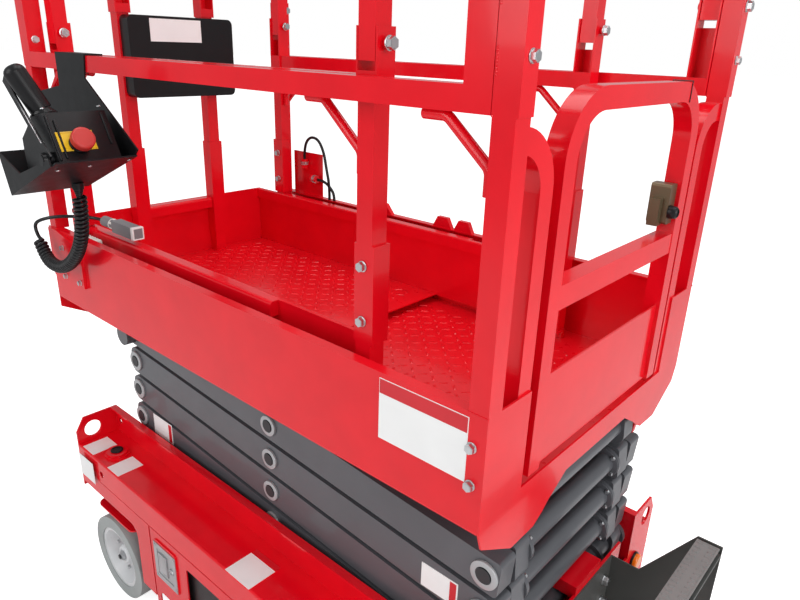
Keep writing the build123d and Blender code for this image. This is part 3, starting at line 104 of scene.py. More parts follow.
def finish(name, colour, roughness, metallic=0.0, coat=0.0, grain=(2.0, 0.02), tone=0.06, gloss=0.08,
           worn=None, specular=0.5):
    """A Principled material with broad tone, uneven gloss and a fine grain (size, height in mm)."""
    material = bpy.data.materials.new(name)
    material.use_nodes = True
    tree = material.node_tree
    shader = tree.nodes["Principled BSDF"]
    shader.inputs["Metallic"].default_value = metallic
    shader.inputs["Coat Weight"].default_value = coat
    shader.inputs["Coat Roughness"].default_value = 0.05
    shader.inputs["Specular IOR Level"].default_value = specular
    coordinates = tree.nodes.new("ShaderNodeTexCoord")
    broad = noise_on(tree, coordinates, BROAD_MM)
    ramp = tree.nodes.new("ShaderNodeValToRGB")
    ramp.color_ramp.elements[0].position, ramp.color_ramp.elements[1].position = 0.3, 0.7
    ramp.color_ramp.elements[0].color = (*[channel * (1 - tone) for channel in colour], 1)
    ramp.color_ramp.elements[1].color = (*[min(1.0, channel * (1 + tone)) for channel in colour], 1)
    tree.links.new(broad.outputs["Fac"], ramp.inputs["Fac"])
    colour_out = ramp.outputs["Color"]
    if worn:
        colour_out = wear(tree, coordinates, colour_out, worn)
    tree.links.new(colour_out, shader.inputs["Base Color"])
    patches = noise_on(tree, coordinates, PATCH_MM, 5.0)
    spread = tree.nodes.new("ShaderNodeMapRange")
    spread.inputs["To Min"].default_value = max(0.03, roughness - gloss)
    spread.inputs["To Max"].default_value = min(1.0, roughness + gloss)
    tree.links.new(patches.outputs["Fac"], spread.inputs["Value"])
    tree.links.new(spread.outputs["Result"], shader.inputs["Roughness"])
    fine = noise_on(tree, coordinates, grain[0], 2.0)
    bump = tree.nodes.new("ShaderNodeBump")
    bump.inputs["Distance"].default_value = grain[1] * MM
    tree.links.new(fine.outputs["Fac"], bump.inputs["Height"])
    tree.links.new(bump.outputs["Normal"], shader.inputs["Normal"])
    return material


def wear(tree, coordinates, paint, colour):
    """Small scuffs of another colour over the paint, where a stretched noise peaks."""
    stretch = tree.nodes.new("ShaderNodeMapping")
    stretch.inputs["Scale"].default_value = (1.0, 1.0, 5.0)
    scuffs = tree.nodes.new("ShaderNodeTexNoise")
    scuffs.inputs["Scale"].default_value = 60.0
    scuffs.inputs["Detail"].default_value = 8.0
    tree.links.new(coordinates.outputs["Object"], stretch.inputs["Vector"])
    tree.links.new(stretch.outputs["Vector"], scuffs.inputs["Vector"])
    edge = tree.nodes.new("ShaderNodeValToRGB")
    edge.color_ramp.elements[0].position, edge.color_ramp.elements[1].position = 0.68, 0.74
    tree.links.new(scuffs.outputs["Fac"], edge.inputs["Fac"])
    blend = tree.nodes.new("ShaderNodeMix")
    blend.data_type = "RGBA"
    blend.inputs[7].default_value = (*colour, 1)
    tree.links.new(edge.outputs["Color"], blend.inputs[0])
    tree.links.new(paint, blend.inputs[6])
    return blend.outputs[2]


# %% [markdown]
# ## The palette
# Most of the machine is one red gloss paint, a saturated base under a clear coat. The scissor arms are a
# satin blue-grey, the ladder a rougher warm grey, the tyres a pale non-marking rubber. Zinc is a metal with
# a mottled gloss, as electroplate has. The decks are painted like the rest but walked on, so they are duller.

# %% Make the finishes
red_paint = finish("red_gloss_paint", (0.78, 0.003, 0.012), 0.2, coat=0.22, grain=(5.0, 0.03), gloss=0.05,
                   specular=0.3)
deck_paint = finish("red_deck_paint", (0.78, 0.004, 0.012), 0.3, coat=0.2, grain=(1.2, 0.04),
                    worn=(0.5, 0.006, 0.01), specular=0.35)
arm_paint = finish("grey_arm_paint", (0.088, 0.09, 0.1), 0.36, coat=0.2, grain=(1.0, 0.05))
ladder_paint = finish("ladder_grey_paint", (0.062, 0.062, 0.058), 0.5, grain=(0.8, 0.08))
tread_grey = finish("tread_grey_paint", (0.2, 0.2, 0.195), 0.5, grain=(0.8, 0.1))
tyre_rubber = finish("grey_tyre_rubber", (0.36, 0.38, 0.375), 0.72, grain=(0.6, 0.08), tone=0.1)
rim_paint = finish("silver_rim_paint", (0.66, 0.67, 0.68), 0.3, coat=0.3, grain=(1.5, 0.03))
zinc = finish("zinc_plated_steel", (0.62, 0.63, 0.64), 0.3, metallic=1.0, grain=(0.5, 0.01), gloss=0.12)
brushed = finish("brushed_plate", (0.55, 0.56, 0.57), 0.35, metallic=1.0, grain=(0.3, 0.02))
chrome = finish("chromed_rod", (0.72, 0.73, 0.74), 0.1, metallic=1.0, grain=(4.0, 0.004), gloss=0.04)
ring_grey = finish("pin_ring_grey", (0.46, 0.47, 0.48), 0.4, metallic=0.4, grain=(0.5, 0.03))
pin_dark = finish("dark_pin_cap", (0.02, 0.021, 0.024), 0.45, grain=(0.6, 0.03))
black_plastic = finish("black_moulded_plastic", (0.007, 0.007, 0.008), 0.34, grain=(0.5, 0.04), specular=0.3)
black_sheet = finish("black_sheet_paint", (0.007, 0.007, 0.008), 0.4, grain=(0.7, 0.04), specular=0.25)
cable_rubber = finish("black_cable_rubber", (0.008, 0.008, 0.009), 0.3, grain=(0.8, 0.02), specular=0.35)
pale_plastic = finish("pale_nylon", (0.76, 0.75, 0.7), 0.5, grain=(0.5, 0.03))
plug_plastic = finish("grey_plug_plastic", (0.2, 0.21, 0.22), 0.5, grain=(0.5, 0.03))
white_film = finish("white_film", (0.88, 0.88, 0.87), 0.4, grain=(1.0, 0.01), tone=0.03)
red_film = finish("red_film", (0.62, 0.01, 0.02), 0.35, grain=(1.0, 0.01))
yellow_film = finish("yellow_film", (0.8, 0.5, 0.01), 0.35, grain=(1.0, 0.01))
button_red = finish("dull_red_plastic", (0.5, 0.03, 0.025), 0.4, grain=(0.6, 0.03))
lamp_orange = finish("orange_lens", (0.85, 0.2, 0.008), 0.15, coat=0.5, grain=(2.0, 0.05))
bronze = finish("bronze_zinc", (0.16, 0.12, 0.07), 0.35, metallic=0.6, grain=(0.6, 0.04))
print("finishes:", len([m for m in bpy.data.materials if m.use_nodes]))

# %% Give each solid its finish
FINISHES = [("tyre", tyre_rubber), ("rim", rim_paint), ("outer_arms", arm_paint), ("inner_arms", arm_paint),
            ("ladder", ladder_paint), ("lift_rod", chrome), ("tie_rod", zinc), ("lift_barrel", arm_paint),
            ("axle_supports", arm_paint), ("scissor_base", arm_paint), ("battery", black_plastic),
            ("control_bracket", black_sheet), ("control_box", black_plastic), ("joystick", black_plastic),
            ("stop_button", button_red), ("cord_plug", plug_plastic), ("document_box", black_plastic),
            ("nylon_slider", pale_plastic), ("gate_latch", bronze), ("side_lamp", lamp_orange),
            ("platform_deck", deck_paint), ("ext_deck", deck_paint)]


def paint_solid(solid, material):
    """Replace all the material slots of a solid."""
    solid.data.materials.clear()
    solid.data.materials.append(material)


for name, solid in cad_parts.items():
    chosen = [material for start, material in FINISHES if name.startswith(start)]
    paint_solid(solid, chosen[0] if chosen else red_paint)
print("painted solids:", len(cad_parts))

# %% [markdown]
# ## The control cable
# A curly cable hangs from the control box, and a thin lead goes on from it over the panel to a plug. A real
# one is wound from a straight cable. Here the centre line is a smooth NURBS spline, and the turns are worked
# out round it, so the coil bends as a whole. Two vectors square to the line are carried along it, because a
# frame that is worked out afresh at each point can flip and cross the turns.

# %% Routes as smooth splines
COIL_ROUTE = [(-365, -392, 1110), (-365, -392, 1046), (-395, -392, 980), (-455, -392, 930), (-525, -392, 905),
              (-590, -392, 915), (-615, -392, 965)]
LEAD_ROUTE = [(-625, -392, 985), (-605, -388, 1000), (-575, -365, 1010), (-548, -330, 1010),
              (-525, -291, 1004), (-486, -291, 1004)]
WIRE_MM = 7.8
COIL_MM = 29.6
TURNS = 42
POINTS_PER_TURN = 12
STRAIGHT_MM = 12
SWELL_MM = 6


def spline_curve(name, points, wire_mm, material):
    """A round cable whose NURBS spline has these control points."""
    data = bpy.data.curves.new(name, "CURVE")
    data.dimensions = "3D"
    spline = data.splines.new("NURBS")
    spline.points.add(len(points) - 1)
    for control, place in zip(spline.points, points):
        control.co = (*place, 1.0)
    spline.order_u = 3
    spline.use_endpoint_u = True
    spline.resolution_u = 6
    data.bevel_depth = wire_mm / 2 * MM
    data.bevel_resolution = 3
    data.use_fill_caps = True
    cable = bpy.data.objects.new(name, data)
    bpy.context.scene.collection.objects.link(cable)
    if material:
        data.materials.append(material)
    return cable


def points_on(control_points):
    """Points along the smooth line that a list of control points gives."""
    guide = spline_curve("guide", control_points, 0.0, None)
    guide.data.splines[0].resolution_u = 24
    line = bpy.data.meshes.new_from_object(guide)
    places = [vertex.co.copy() for vertex in line.vertices]
    bpy.data.objects.remove(guide)
    return places


def walk(places, step):
    """Places at an even step along a line, each with the direction there."""
    steps, gone, wanted = [], 0.0, 0.0
    for a, b in zip(places, places[1:]):
        span = (b - a).length
        while span and wanted <= gone + span:
            steps.append((a.lerp(b, (wanted - gone) / span), (b - a).normalized()))
            wanted += step
        gone += span
    return steps


# %% Wind the coil and lay the lead
centre_line = points_on([at(*place) for place in COIL_ROUTE])
route_length = sum((b - a).length for a, b in zip(centre_line, centre_line[1:]))
coil_length = route_length - 2 * STRAIGHT_MM * MM
step = coil_length / (TURNS * POINTS_PER_TURN)
line_steps = walk(centre_line, step)
cable_points, side = [], Vector((0, 1, 0))
for number, (place, along) in enumerate(line_steps):
    side = (side - along * side.dot(along)).normalized()
    across = along.cross(side)
    from_end = min(number, len(line_steps) - 1 - number) * step
    swell = min(1.0, max(0.0, (from_end - STRAIGHT_MM * MM) / (SWELL_MM * MM)))
    angle = 2 * math.pi * number / POINTS_PER_TURN
    radius = swell * (COIL_MM - WIRE_MM) / 2 * MM
    if swell > 0.5 or (swell == 0 and number % POINTS_PER_TURN == 0):
        cable_points.append(place + radius * (side * math.cos(angle) + across * math.sin(angle)))
cable_points += [at(*place) for place in LEAD_ROUTE]
control_cable = spline_curve("control_cable", cable_points, WIRE_MM, cable_rubber)
cable_line = points_on(cable_points)
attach(control_cable, "platform")
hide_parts("coil_cord", "lead_cord")

# %% [markdown]
# ## The outlet cables
# Two short black cables loop from the far panel's lip to their connectors. They hold their own curve, as a
# stiff rubber cable does over a short span.

# %% Two outlet cables
OUTLET_Y = 340
OUTLET_MM = 8
OUTLET_ROUTES = {"outlet_cable_high": [(-420, 974), (-420, 1016), (-432, 1060), (-442, 1106), (-466, 1142),
                                       (-503, 1144), (-526, 1114), (-526, 1078)],
                 "outlet_cable_low": [(-470, 1025), (-446, 1025), (-420, 1013), (-400, 993), (-400, 974)]}
outlet_cables = {}
for name, route in OUTLET_ROUTES.items():
    points = [at(x, OUTLET_Y, z) for x, z in route]
    cable = spline_curve(name, points, OUTLET_MM, cable_rubber)
    cable.data.splines[0].resolution_u = 16
    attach(cable, "platform")
    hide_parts("outlet_cables")
    line = points_on(points)
    outlet_cables[name] = (cable, sum((b - a).length for a, b in zip(line, line[1:])), points[0])
    print(name, round(outlet_cables[name][1], 3), "m")

# %% [markdown]
# ## Modelling helpers
# Every new piece starts as a primitive at its own size and place. The helpers below only save typing: one
# adds the start and applies its placing, one picks faces by the way they point, and one hands the finished
# piece to a body and a finish.

# %% Helpers
def deselect():
    """Clear the selection, which the loaded solids otherwise stay in."""
    bpy.ops.object.select_all(action="DESELECT")


def block(name, low, high):
    """Start a piece as a box between two corners in millimetres."""
    deselect()
    bpy.ops.mesh.primitive_cube_add(size=1, location=(at(*low) + at(*high)) / 2)
    piece = bpy.context.object
    piece.name = name
    piece.scale = at(*high) - at(*low)
    bpy.ops.object.transform_apply(location=True, rotation=True, scale=True)
    return piece


def disc(name, radius, z0, z1, sides=32, top=None):
    """Start a piece as a round bar along Z, or a cone where top gives another radius, in millimetres."""
    deselect()
    bpy.ops.mesh.primitive_cone_add(vertices=sides, radius1=radius * MM,
                                    radius2=(radius if top is None else top) * MM,
                                    depth=(z1 - z0) * MM, location=(0, 0, (z0 + z1) / 2 * MM))
    piece = bpy.context.object
    piece.name = name
    bpy.ops.object.transform_apply(location=True, rotation=True, scale=True)
    return piece


def pick_faces(piece, test):
    """Enter edit mode with the faces selected for which test(centre in mm, normal) holds."""
    bpy.context.view_layer.objects.active = piece
    bpy.ops.object.mode_set(mode="EDIT")
    bpy.ops.mesh.select_all(action="DESELECT")
    bpy.ops.object.mode_set(mode="OBJECT")
    for face in piece.data.polygons:
        face.select = test(face.center / MM, face.normal)
    bpy.ops.object.mode_set(mode="EDIT")
    bpy.ops.mesh.select_mode(type="FACE")


def leave(piece):
    """Leave edit mode."""
    bpy.ops.object.mode_set(mode="OBJECT")
    return piece


def step_face(piece, test, inset_mm, rise_mm):
    """Inset the picked faces and push the inner faces out, or in where rise_mm is negative."""
    pick_faces(piece, test)
    bpy.ops.mesh.inset(thickness=inset_mm * MM, use_even_offset=True)
    bpy.ops.mesh.extrude_region_shrink_fatten(TRANSFORM_OT_shrink_fatten={"value": rise_mm * MM})
    return leave(piece)


def soften(piece, width_mm, segments=2):
    """Round the sharp edges with a bevel that is applied."""
    edge = piece.modifiers.new("edge", "BEVEL")
    edge.width, edge.segments, edge.limit_method = width_mm * MM, segments, "ANGLE"
    edge.angle_limit = math.radians(40)
    bpy.context.view_layer.objects.active = piece
    bpy.ops.object.modifier_apply(modifier=edge.name)
    return piece


def copy_to(piece, matrix):
    """A copy with its own mesh, moved by a matrix."""
    twin = piece.copy()
    twin.data = piece.data.copy()
    twin.data.transform(matrix)
    bpy.context.scene.collection.objects.link(twin)
    return twin


def joined(name, pieces):
    """Join pieces into one object."""
    deselect()
    for piece in pieces:
        piece.select_set(True)
    bpy.context.view_layer.objects.active = pieces[0]
    if len(pieces) > 1:
        bpy.ops.object.join()
    pieces[0].name = name
    return pieces[0]


def settle(piece, body, slot, *materials):
    """Give a finished piece its finish and the body that it moves with; the slot argument is not used."""
    if materials:
        piece.data.materials.clear()
        for material in materials:
            piece.data.materials.append(material)
    deselect()
    piece.select_set(True)
    bpy.context.view_layer.objects.active = piece
    bpy.ops.object.shade_smooth_by_angle(angle=math.radians(35))
    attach(piece, body)
    return piece


def facing(place, outward):
    """Matrix that stands a piece drawn along +Z on a place in mm, looking outward."""
    return Matrix.Translation(at(*place)) @ Vector(outward).to_track_quat("Z", "Y").to_matrix().to_4x4()


def seat(place, outward, reach=60):
    """The place in mm where a line from outside first meets the machine near a place."""
    graph = bpy.context.evaluated_depsgraph_get()
    start = at(*place) + Vector(outward) * reach * MM
    found, hit, *_ = bpy.context.scene.ray_cast(graph, start, -Vector(outward), distance=2 * reach * MM)
    return tuple(hit / MM) if found else tuple(place)


def rows(name, body, slot, materials, model, places):
    """Copies of a model at (place, outward) pairs, joined into one piece on one body."""
    copies = [copy_to(model, facing(place, outward)) for place, outward in places]
    return settle(joined(name, copies), body, slot, *materials)


print("helpers ready")

# %% [markdown]
# ## Strain reliefs and the cable's plug
# A cable that leaves a housing is held by a tapered rubber sleeve, so that it bends gently there. A core cone
# runs through a row of short bands with gaps between them, and the gaps are what makes a real sleeve soft.

# %% Strain relief
def ribbed_sleeve(name, foot_r, tip_r, length, bands):
    """A tapered sleeve along +Z with ribs."""
    parts = []
    for number in range(bands):
        z0, z1 = length * number / bands, length * (number + 0.72) / bands
        share = number / bands
        radius = foot_r + (tip_r - foot_r) * share
        parts.append(soften(disc("band", radius, z0, z1, 24), 0.5))
    parts.append(disc("core", foot_r - 1.6, 0, length, 24, tip_r - 0.6))
    return joined(name, parts)


sleeve = ribbed_sleeve("cable_relief", 9.5, 5.0, 20, 5)
sleeve.data.transform(facing(COIL_ROUTE[0], (0, 0, -1)))
settle(sleeve, "platform", "black_plastic", cable_rubber)
gland = ribbed_sleeve("plug_gland", 12.6, 6.0, 40, 9)
gland.data.transform(facing((-446, -291, 1004), (-1, 0, 0)))
settle(gland, "platform", "white_nylon", pale_plastic)
collar = soften(disc("plug_nut", 13.2, 0, 12, 6), 0.8)
collar.data.transform(facing((-446, -291, 1004), (1, 0, 0)))
settle(collar, "platform", "white_nylon", pale_plastic)
plug_end = step_face(block("plug_end", (-348, -303.6, 990.4), (-337.4, -278.4, 1017.6)),
                     lambda c, n: n.x > 0.9, 3.0, -1.5)
settle(soften(plug_end, 0.8), "platform", "white_nylon", white_film)
print("the cable's sleeves and plug are on")

# %% [markdown]
# ## Outlet plate fittings
# Each cable ends in a plated connector with a knurled ring: a bar whose side faces are inset and pushed in,
# so that every facet has a raised frame.

# %% Connector rings
def knurled_ring(name, radius, length, sides=18):
    """A short ring whose side faces are sunk a little, so that it can be gripped."""
    ring = disc(name, radius, 0, length, sides)
    pick_faces(ring, lambda c, n: abs(n.z) < 0.5)
    bpy.ops.mesh.inset(thickness=0.5 * MM, use_individual=True)
    bpy.ops.mesh.extrude_region_shrink_fatten(TRANSFORM_OT_shrink_fatten={"value": -0.6 * MM})
    return leave(ring)


CONNECTORS = {"outlet_cable_high": ((-526, OUTLET_Y, 1062), (0, 0, 1)),
              "outlet_cable_low": ((-486, OUTLET_Y, 1025), (1, 0, 0))}
for name, (cable, length, start) in outlet_cables.items():
    ring = knurled_ring("ring_of_" + name, 11.4, 9)
    ring.data.transform(facing(*CONNECTORS[name]))
    settle(ring, "platform", "bright_steel", zinc)
print("cords declared:", 1 + len(outlet_cables))

# %% [markdown]
# ## Bolts
# A hex head with its washer is modelled for each row and copied along it. The head is a six-sided bar with a
# small step on top, and under it lies a flat round washer. The copies of a row are joined, so the outliner
# stays short. Where a bolt sits is typed roughly, and a ray finds the metal under it.

# %% Model a hex bolt
def hex_bolt(across_flats):
    """A hex head on a washer, standing on the origin along +Z."""
    radius = across_flats / math.sqrt(3)
    head = disc("head", radius, 0.12 * across_flats, 0.62 * across_flats, 6)
    head = step_face(head, lambda c, n: n.z > 0.9, 0.09 * across_flats, 0.05 * across_flats)
    washer = soften(disc("washer", radius * 1.12, 0, 0.13 * across_flats, 24), 0.4)
    return joined("hex_bolt", [head, washer])


BOLTS = [
    # piece, body, across flats, outward, places
    ("front_bracket_bolts", "platform", 10, (0, -1, 0),
     [(-564, -361, 938), (-566, -361, 869), (-494, -361, 870)]),
    ("front_bracket_bolts_far", "platform", 10, (0, 1, 0),
     [(-564, 361, 938), (-566, 361, 869), (-494, 361, 870)]),
    ("corner_bolts", "platform", 12.5, (0, -1, 0), [(587, -354, 925), (589, -354, 869)]),
    ("corner_bolts_far", "platform", 12.5, (0, 1, 0), [(587, 354, 925), (589, 354, 869)]),
    ("sleeve_bolts", "extension", 13, (0, -1, 0),
     [(x, -318, z) for x in (352, -573) for z in (1101, 1016)]),
    ("sleeve_bolts_far", "extension", 13, (0, 1, 0),
     [(x, 318, z) for x in (352, -573) for z in (1101, 1016)]),
    ("sleeve_bolts_inner", "extension", 13, (0, -1, 0),
     [(x, 280, z) for x in (354, -573) for z in (1095, 1020)]),
    ("fold_bolts_near", "platform", 15, (1, 0, 0), [(x + 25, -339, 1514) for x in (-617, 557)]),
    ("fold_bolts_far", "platform", 15, (1, 0, 0), [(x + 25, 339, 1478) for x in (-617, 557)]),
    ("fold_bolts_ext_near", "extension", 15, (1, 0, 0), [(x + 25, -299, 1400) for x in (-573, 354)]),
    ("fold_bolts_ext_far", "extension", 15, (1, 0, 0), [(x + 25, 299, 1436) for x in (-573, 354)]),
    ("stop_bolts", "platform", 12, (1, 0, 0), [(-598, s * 339, 1385) for s in (-1, 1)]),
    ("socket_bolts", "platform", 12, (1, 0, 0), [(611, s * 339, z) for s in (-1, 1) for z in (1392, 1502)]),
    ("rear_fold_bolts", "platform", 15, (0, -1, 0), [(593, -360, 1550), (593, 241, 1550)]),
    ("rear_fold_bolts_far", "platform", 15, (0, 1, 0), [(593, 360, 1550), (593, -241, 1550)]),
    ("front_fold_bolts", "extension", 15, (0, 1, 0), [(-655, y + 25, 1550) for y in (-115, 115)]),
    ("ladder_bolts", "chassis", 17, (1, 0, 0), [(617, s * 130, z) for s in (-1, 1) for z in (340, 395)]),
]

# %% Seat the bolts
for name, body, flats, outward, places in BOLTS:
    model = hex_bolt(flats)
    rows(name, body, "bright_steel", [zinc], model, [(seat(p, outward, 30), outward) for p in places])
    bpy.data.objects.remove(model)
print("bolts:", sum(len(row[4]) for row in BOLTS))

# %% [markdown]
# ## Pins of the scissor
# Each pin ends in a pale retaining ring round a dark greased hub. The ring is a bar with two steps on its
# face: an inset that sinks, and inside it a hub that rises again.

# %% Pin ends
def pin_end(ring_r, hub_r):
    """A retaining ring with a raised hub, along +Z."""
    cap = soften(disc("pin_end", ring_r, 0, 5, 40), 0.8)
    cap = step_face(cap, lambda c, n: n.z > 0.99 and c.z > 4.9, ring_r - hub_r - 2.0, -1.6)
    cap.data.materials.append(ring_grey)
    cap.data.materials.append(pin_dark)
    for face in cap.data.polygons:
        centre = face.center / MM
        if centre.xy.length < hub_r + 1.6 and centre.z > 3:
            face.material_index = 1
    cap = step_face(cap, lambda c, n: n.z > 0.99 and c.xy.length < hub_r, 1.4, 3.0)
    return cap


PIN_PITCH = 78
LEVELS = 4
CENTRE_PIN, REAR_PIN, FRONT_PIN = (38, 444), (565, 405), (-489, 483)
ARM_FACE = 254
centre_cap, end_cap = pin_end(22, 13), pin_end(25, 14)
for level in range(LEVELS):
    spots = [(CENTRE_PIN, centre_cap)]
    if level > 0:
        spots.append((REAR_PIN, end_cap))
    if level < LEVELS - 1:
        spots.append((FRONT_PIN, end_cap))
    copies = []
    for (x, z), model in spots:
        for sign in (-1, 1):
            copies.append(copy_to(model, facing((x, sign * ARM_FACE, z + level * PIN_PITCH), (0, sign, 0))))
    cap = joined(f"pin_ends_{level + 1}", copies)
    settle(cap, f"outer_{level + 1}", "grey_paint")
bpy.data.objects.remove(centre_cap)
bpy.data.objects.remove(end_cap)
print("pin ends on", LEVELS, "levels")

# %% [markdown]
# ## Collars of the cross tubes
# Where a cross tube meets its arm, a flanged collar with four small bolts holds it. The flange is a short bar
# with a softened rim, and the bolts are the same hex head at a small size, turned round the tube's axis.

# %% Collars
COLLAR_Y = 166


def tube_collar():
    """A flange with four bolts, along +Z."""
    flange = soften(disc("flange", 30, 0, 9, 40), 1.2)
    flange.data.materials.append(arm_paint)
    head = hex_bolt(7)
    head.data.materials.append(zinc)
    out = Matrix.Translation(at(25.5, 0, 9))
    heads = [copy_to(head, Matrix.Rotation(math.radians(45 + 90 * n), 4, "Z") @ out) for n in range(4)]
    bpy.data.objects.remove(head)
    return joined("collar", [flange, *heads])


collar_model = tube_collar()
for level in range(1, LEVELS):
    x, z = REAR_PIN
    copies = [copy_to(collar_model, facing((x, sign * COLLAR_Y, z + level * PIN_PITCH), (0, -sign, 0)))
              for sign in (-1, 1)]
    settle(joined(f"tube_collars_{level + 1}", copies), f"outer_{level + 1}", "grey_paint")
bpy.data.objects.remove(collar_model)
print("collars on", LEVELS - 1, "tubes")

# %% [markdown]
# ## Blank plates
# The machine carries rating and notice plates. They are left blank: a thin pale plate with a raised rim, and
# on some a red strip along one edge. A plate is a box whose outer face is inset and sunk by a tenth of a
# millimetre or two, which catches the light along its border.

# %% Plates
PLATES = [
    # piece, body, low corner, high corner, outward
    ("rear_notice_plate", "platform", (427, -354.9, 870), (580, -354, 966), (0, -1, 0)),
    ("arm_plate_low", "outer_1", (-435, -254.8, 455), (-350, -254, 510), (0, -1, 0)),
    ("arm_plate_high", "outer_3", (442, -254.8, 539), (518, -254, 587), (0, -1, 0)),
    ("tray_plate_front", "chassis", (-590, -376, 398), (-535, -312, 398.8), (0, 0, 1)),
    ("tray_plate_mid", "chassis", (-458, -377, 398), (-405, -311, 398.8), (0, 0, 1)),
    ("tray_plate_rear", "chassis", (40, -380, 398), (118, -315, 398.8), (0, 0, 1)),
    ("skirt_plate", "chassis", (-596, -386.8, 321), (-521, -386, 382), (0, -1, 0)),
    ("document_label", "extension", (-604, -70, 1388), (-603.2, 70, 1440), (1, 0, 0)),
]
STRIPS = [
    ("rear_notice_strip", "platform", (428, -355.3, 943), (579, -354.6, 965), (0, -1, 0)),
    ("arm_strip_low", "outer_1", (-366, -255.1, 458), (-353, -254.6, 507), (0, -1, 0)),
    ("arm_strip_high", "outer_3", (502, -255.1, 542), (515, -254.6, 584), (0, -1, 0)),
    ("tray_strip_rear", "chassis", (40, -312, 398), (118, -301, 398.9), (0, 0, 1)),
]


def thin_plate(name, body, low, high, outward, slot, material):
    """A thin plate with a rim, outward being the way its face looks."""
    way = Vector(outward)
    plate = step_face(block(name, low, high), lambda c, n: n.dot(way) > 0.9, 1.6, -0.12)
    return settle(plate, body, slot, material)


for name, body, low, high, outward in PLATES:
    thin_plate(name, body, low, high, outward, "rim_white", white_film)
for name, body, low, high, outward in STRIPS:
    thin_plate(name, body, low, high, outward, "red_paint", red_film)
print("plates:", len(PLATES), "strips:", len(STRIPS))

# %% [markdown]
# ## Tread plate
# The decks are rolled tread plate: short raised bars that cross in turns. One bar is a box whose top is
# squeezed and whose ends are pinched, then two array modifiers lay it out over the deck. The bars are low, so
# what slides over the deck passes them.

# %% Lay the tread bars
TREAD_PITCH = 26
TREAD_RISE = 1.3
EDGE = 14


def tread_bar(turned):
    """One raised bar at the origin, along the left or the right diagonal."""
    bar = block("bar", (-10, -2.6, -0.2), (10, 2.6, TREAD_RISE))
    pick_faces(bar, lambda c, n: n.z > 0.9)
    bpy.ops.transform.resize(value=(0.72, 0.45, 1.0))
    leave(bar)
    pick_faces(bar, lambda c, n: abs(n.x) > 0.8)
    bpy.ops.transform.resize(value=(1.0, 0.3, 1.0))
    leave(bar)
    bar.data.transform(Matrix.Rotation(math.radians(45 if turned else -45), 4, "Z"))
    return bar


def tread(name, body, x0, x1, y0, y1, z):
    """Fill a deck with crossing bars."""
    fields = []
    for turned, shift_x, shift_y in ((False, 0, 0), (False, 1, 1), (True, 1, 0), (True, 0, 1)):
        bar = tread_bar(turned)
        first = at(x0 + EDGE + shift_x * TREAD_PITCH, y0 + EDGE + shift_y * TREAD_PITCH, z)
        bar.data.transform(Matrix.Translation(first))
        for axis, span in ((0, x1 - x0), (1, y1 - y0)):
            lay = bar.modifiers.new("row", "ARRAY")
            lay.use_relative_offset, lay.use_constant_offset = False, True
            lay.constant_offset_displace = [2 * TREAD_PITCH * MM if n == axis else 0 for n in range(3)]
            lay.count = int((span - 2 * EDGE - TREAD_PITCH) // (2 * TREAD_PITCH)) + 1
            bpy.context.view_layer.objects.active = bar
            bpy.ops.object.modifier_apply(modifier=lay.name)
        fields.append(bar)
    field = joined(name, fields)
    print(name, "bars:", len(field.data.polygons) // 6)
    return settle(field, body, "red_paint", deck_paint)


tread("main_deck_tread", "platform", -610, 590, -272, 272, 800)
tread("ext_deck_tread", "extension", -640, 28, -272, 272, 820)

# %% [markdown]
# ## The control box
# The box sits on a tilted tray, so its fittings are drawn upright in the tray's own directions and one matrix
# puts them all in place. It is the piece that a hand meets, so it gets the closest work: a yellow patch under
# the stop button, a bright guard strip, a fluted knob, ribs, a blank tag and a row of small screws.

# %% Fittings of the control box
TRAY = Matrix.Translation(at(-403, 0, 1108)) @ Matrix.Rotation(math.radians(-22.07), 4, "Y")
FACE_RUN, FACE_RISE = 14, 92.5
FACE_LEAN = math.atan2(FACE_RUN, FACE_RISE)
STOP_V, STOP_Y = 33, -442


def on_stop_face(y, height):
    """Matrix for a piece drawn along +Z, on the sloped face at a place along Y and a height over the tray."""
    foot = Matrix.Translation(at(217 - (height - 0.5) * FACE_RUN / FACE_RISE, y, height))
    return TRAY @ foot @ Matrix.Rotation(math.pi / 2 - FACE_LEAN, 4, "Y")


patch = soften(block("stop_patch", (-18, -34, 0), (18, 30, 1.2)), 0.4)
patch = step_face(patch, lambda c, n: n.z > 0.9, 2, -0.3)
patch.data.transform(on_stop_face(STOP_Y, 39))
settle(patch, "platform", None, yellow_film)
stop_collar = step_face(disc("stop_collar", 18, 0, 4, 40, 16), lambda c, n: n.z > 0.9, 3, -1)
stop_collar.data.transform(on_stop_face(STOP_Y, STOP_V))
settle(soften(stop_collar, 0.6), "platform", "black_plastic", black_plastic)
guard = block("guard_edge", (-58, -1.2, -0.4), (58, 1.2, 0.4))
guard = step_face(guard, lambda c, n: abs(n.y) > 0.9, 0.3, 0.2)
guard_turn = Matrix.Rotation(math.atan2(172, 90), 4, "Y")
guard.data.transform(TRAY @ Matrix.Translation(at(168, -496.4, 95)) @ guard_turn)
settle(guard, "platform", "bright_steel", brushed)

KNOB_SIDES = 24


def every_other_side(centre, normal):
    """True for every second side face of the knob."""
    number = round(math.degrees(math.atan2(normal.y, normal.x)) / (360 / KNOB_SIDES) - 0.5)
    return abs(normal.z) < 0.6 and number % 2 == 0


knob = disc("knob", 14, 0, 9, KNOB_SIDES, 12.5)
pick_faces(knob, every_other_side)
bpy.ops.mesh.inset(thickness=0.3 * MM, use_individual=True)
bpy.ops.mesh.extrude_region_shrink_fatten(TRANSFORM_OT_shrink_fatten={"value": -1.2 * MM})
leave(knob)
knob = step_face(knob, lambda c, n: n.z > 0.9, 2.5, 1.2)
knob.data.transform(TRAY @ Matrix.Translation(at(187, -493, 16)) @ Matrix.Rotation(math.pi / 2, 4, "X"))
settle(knob, "platform", "black_plastic", black_plastic)

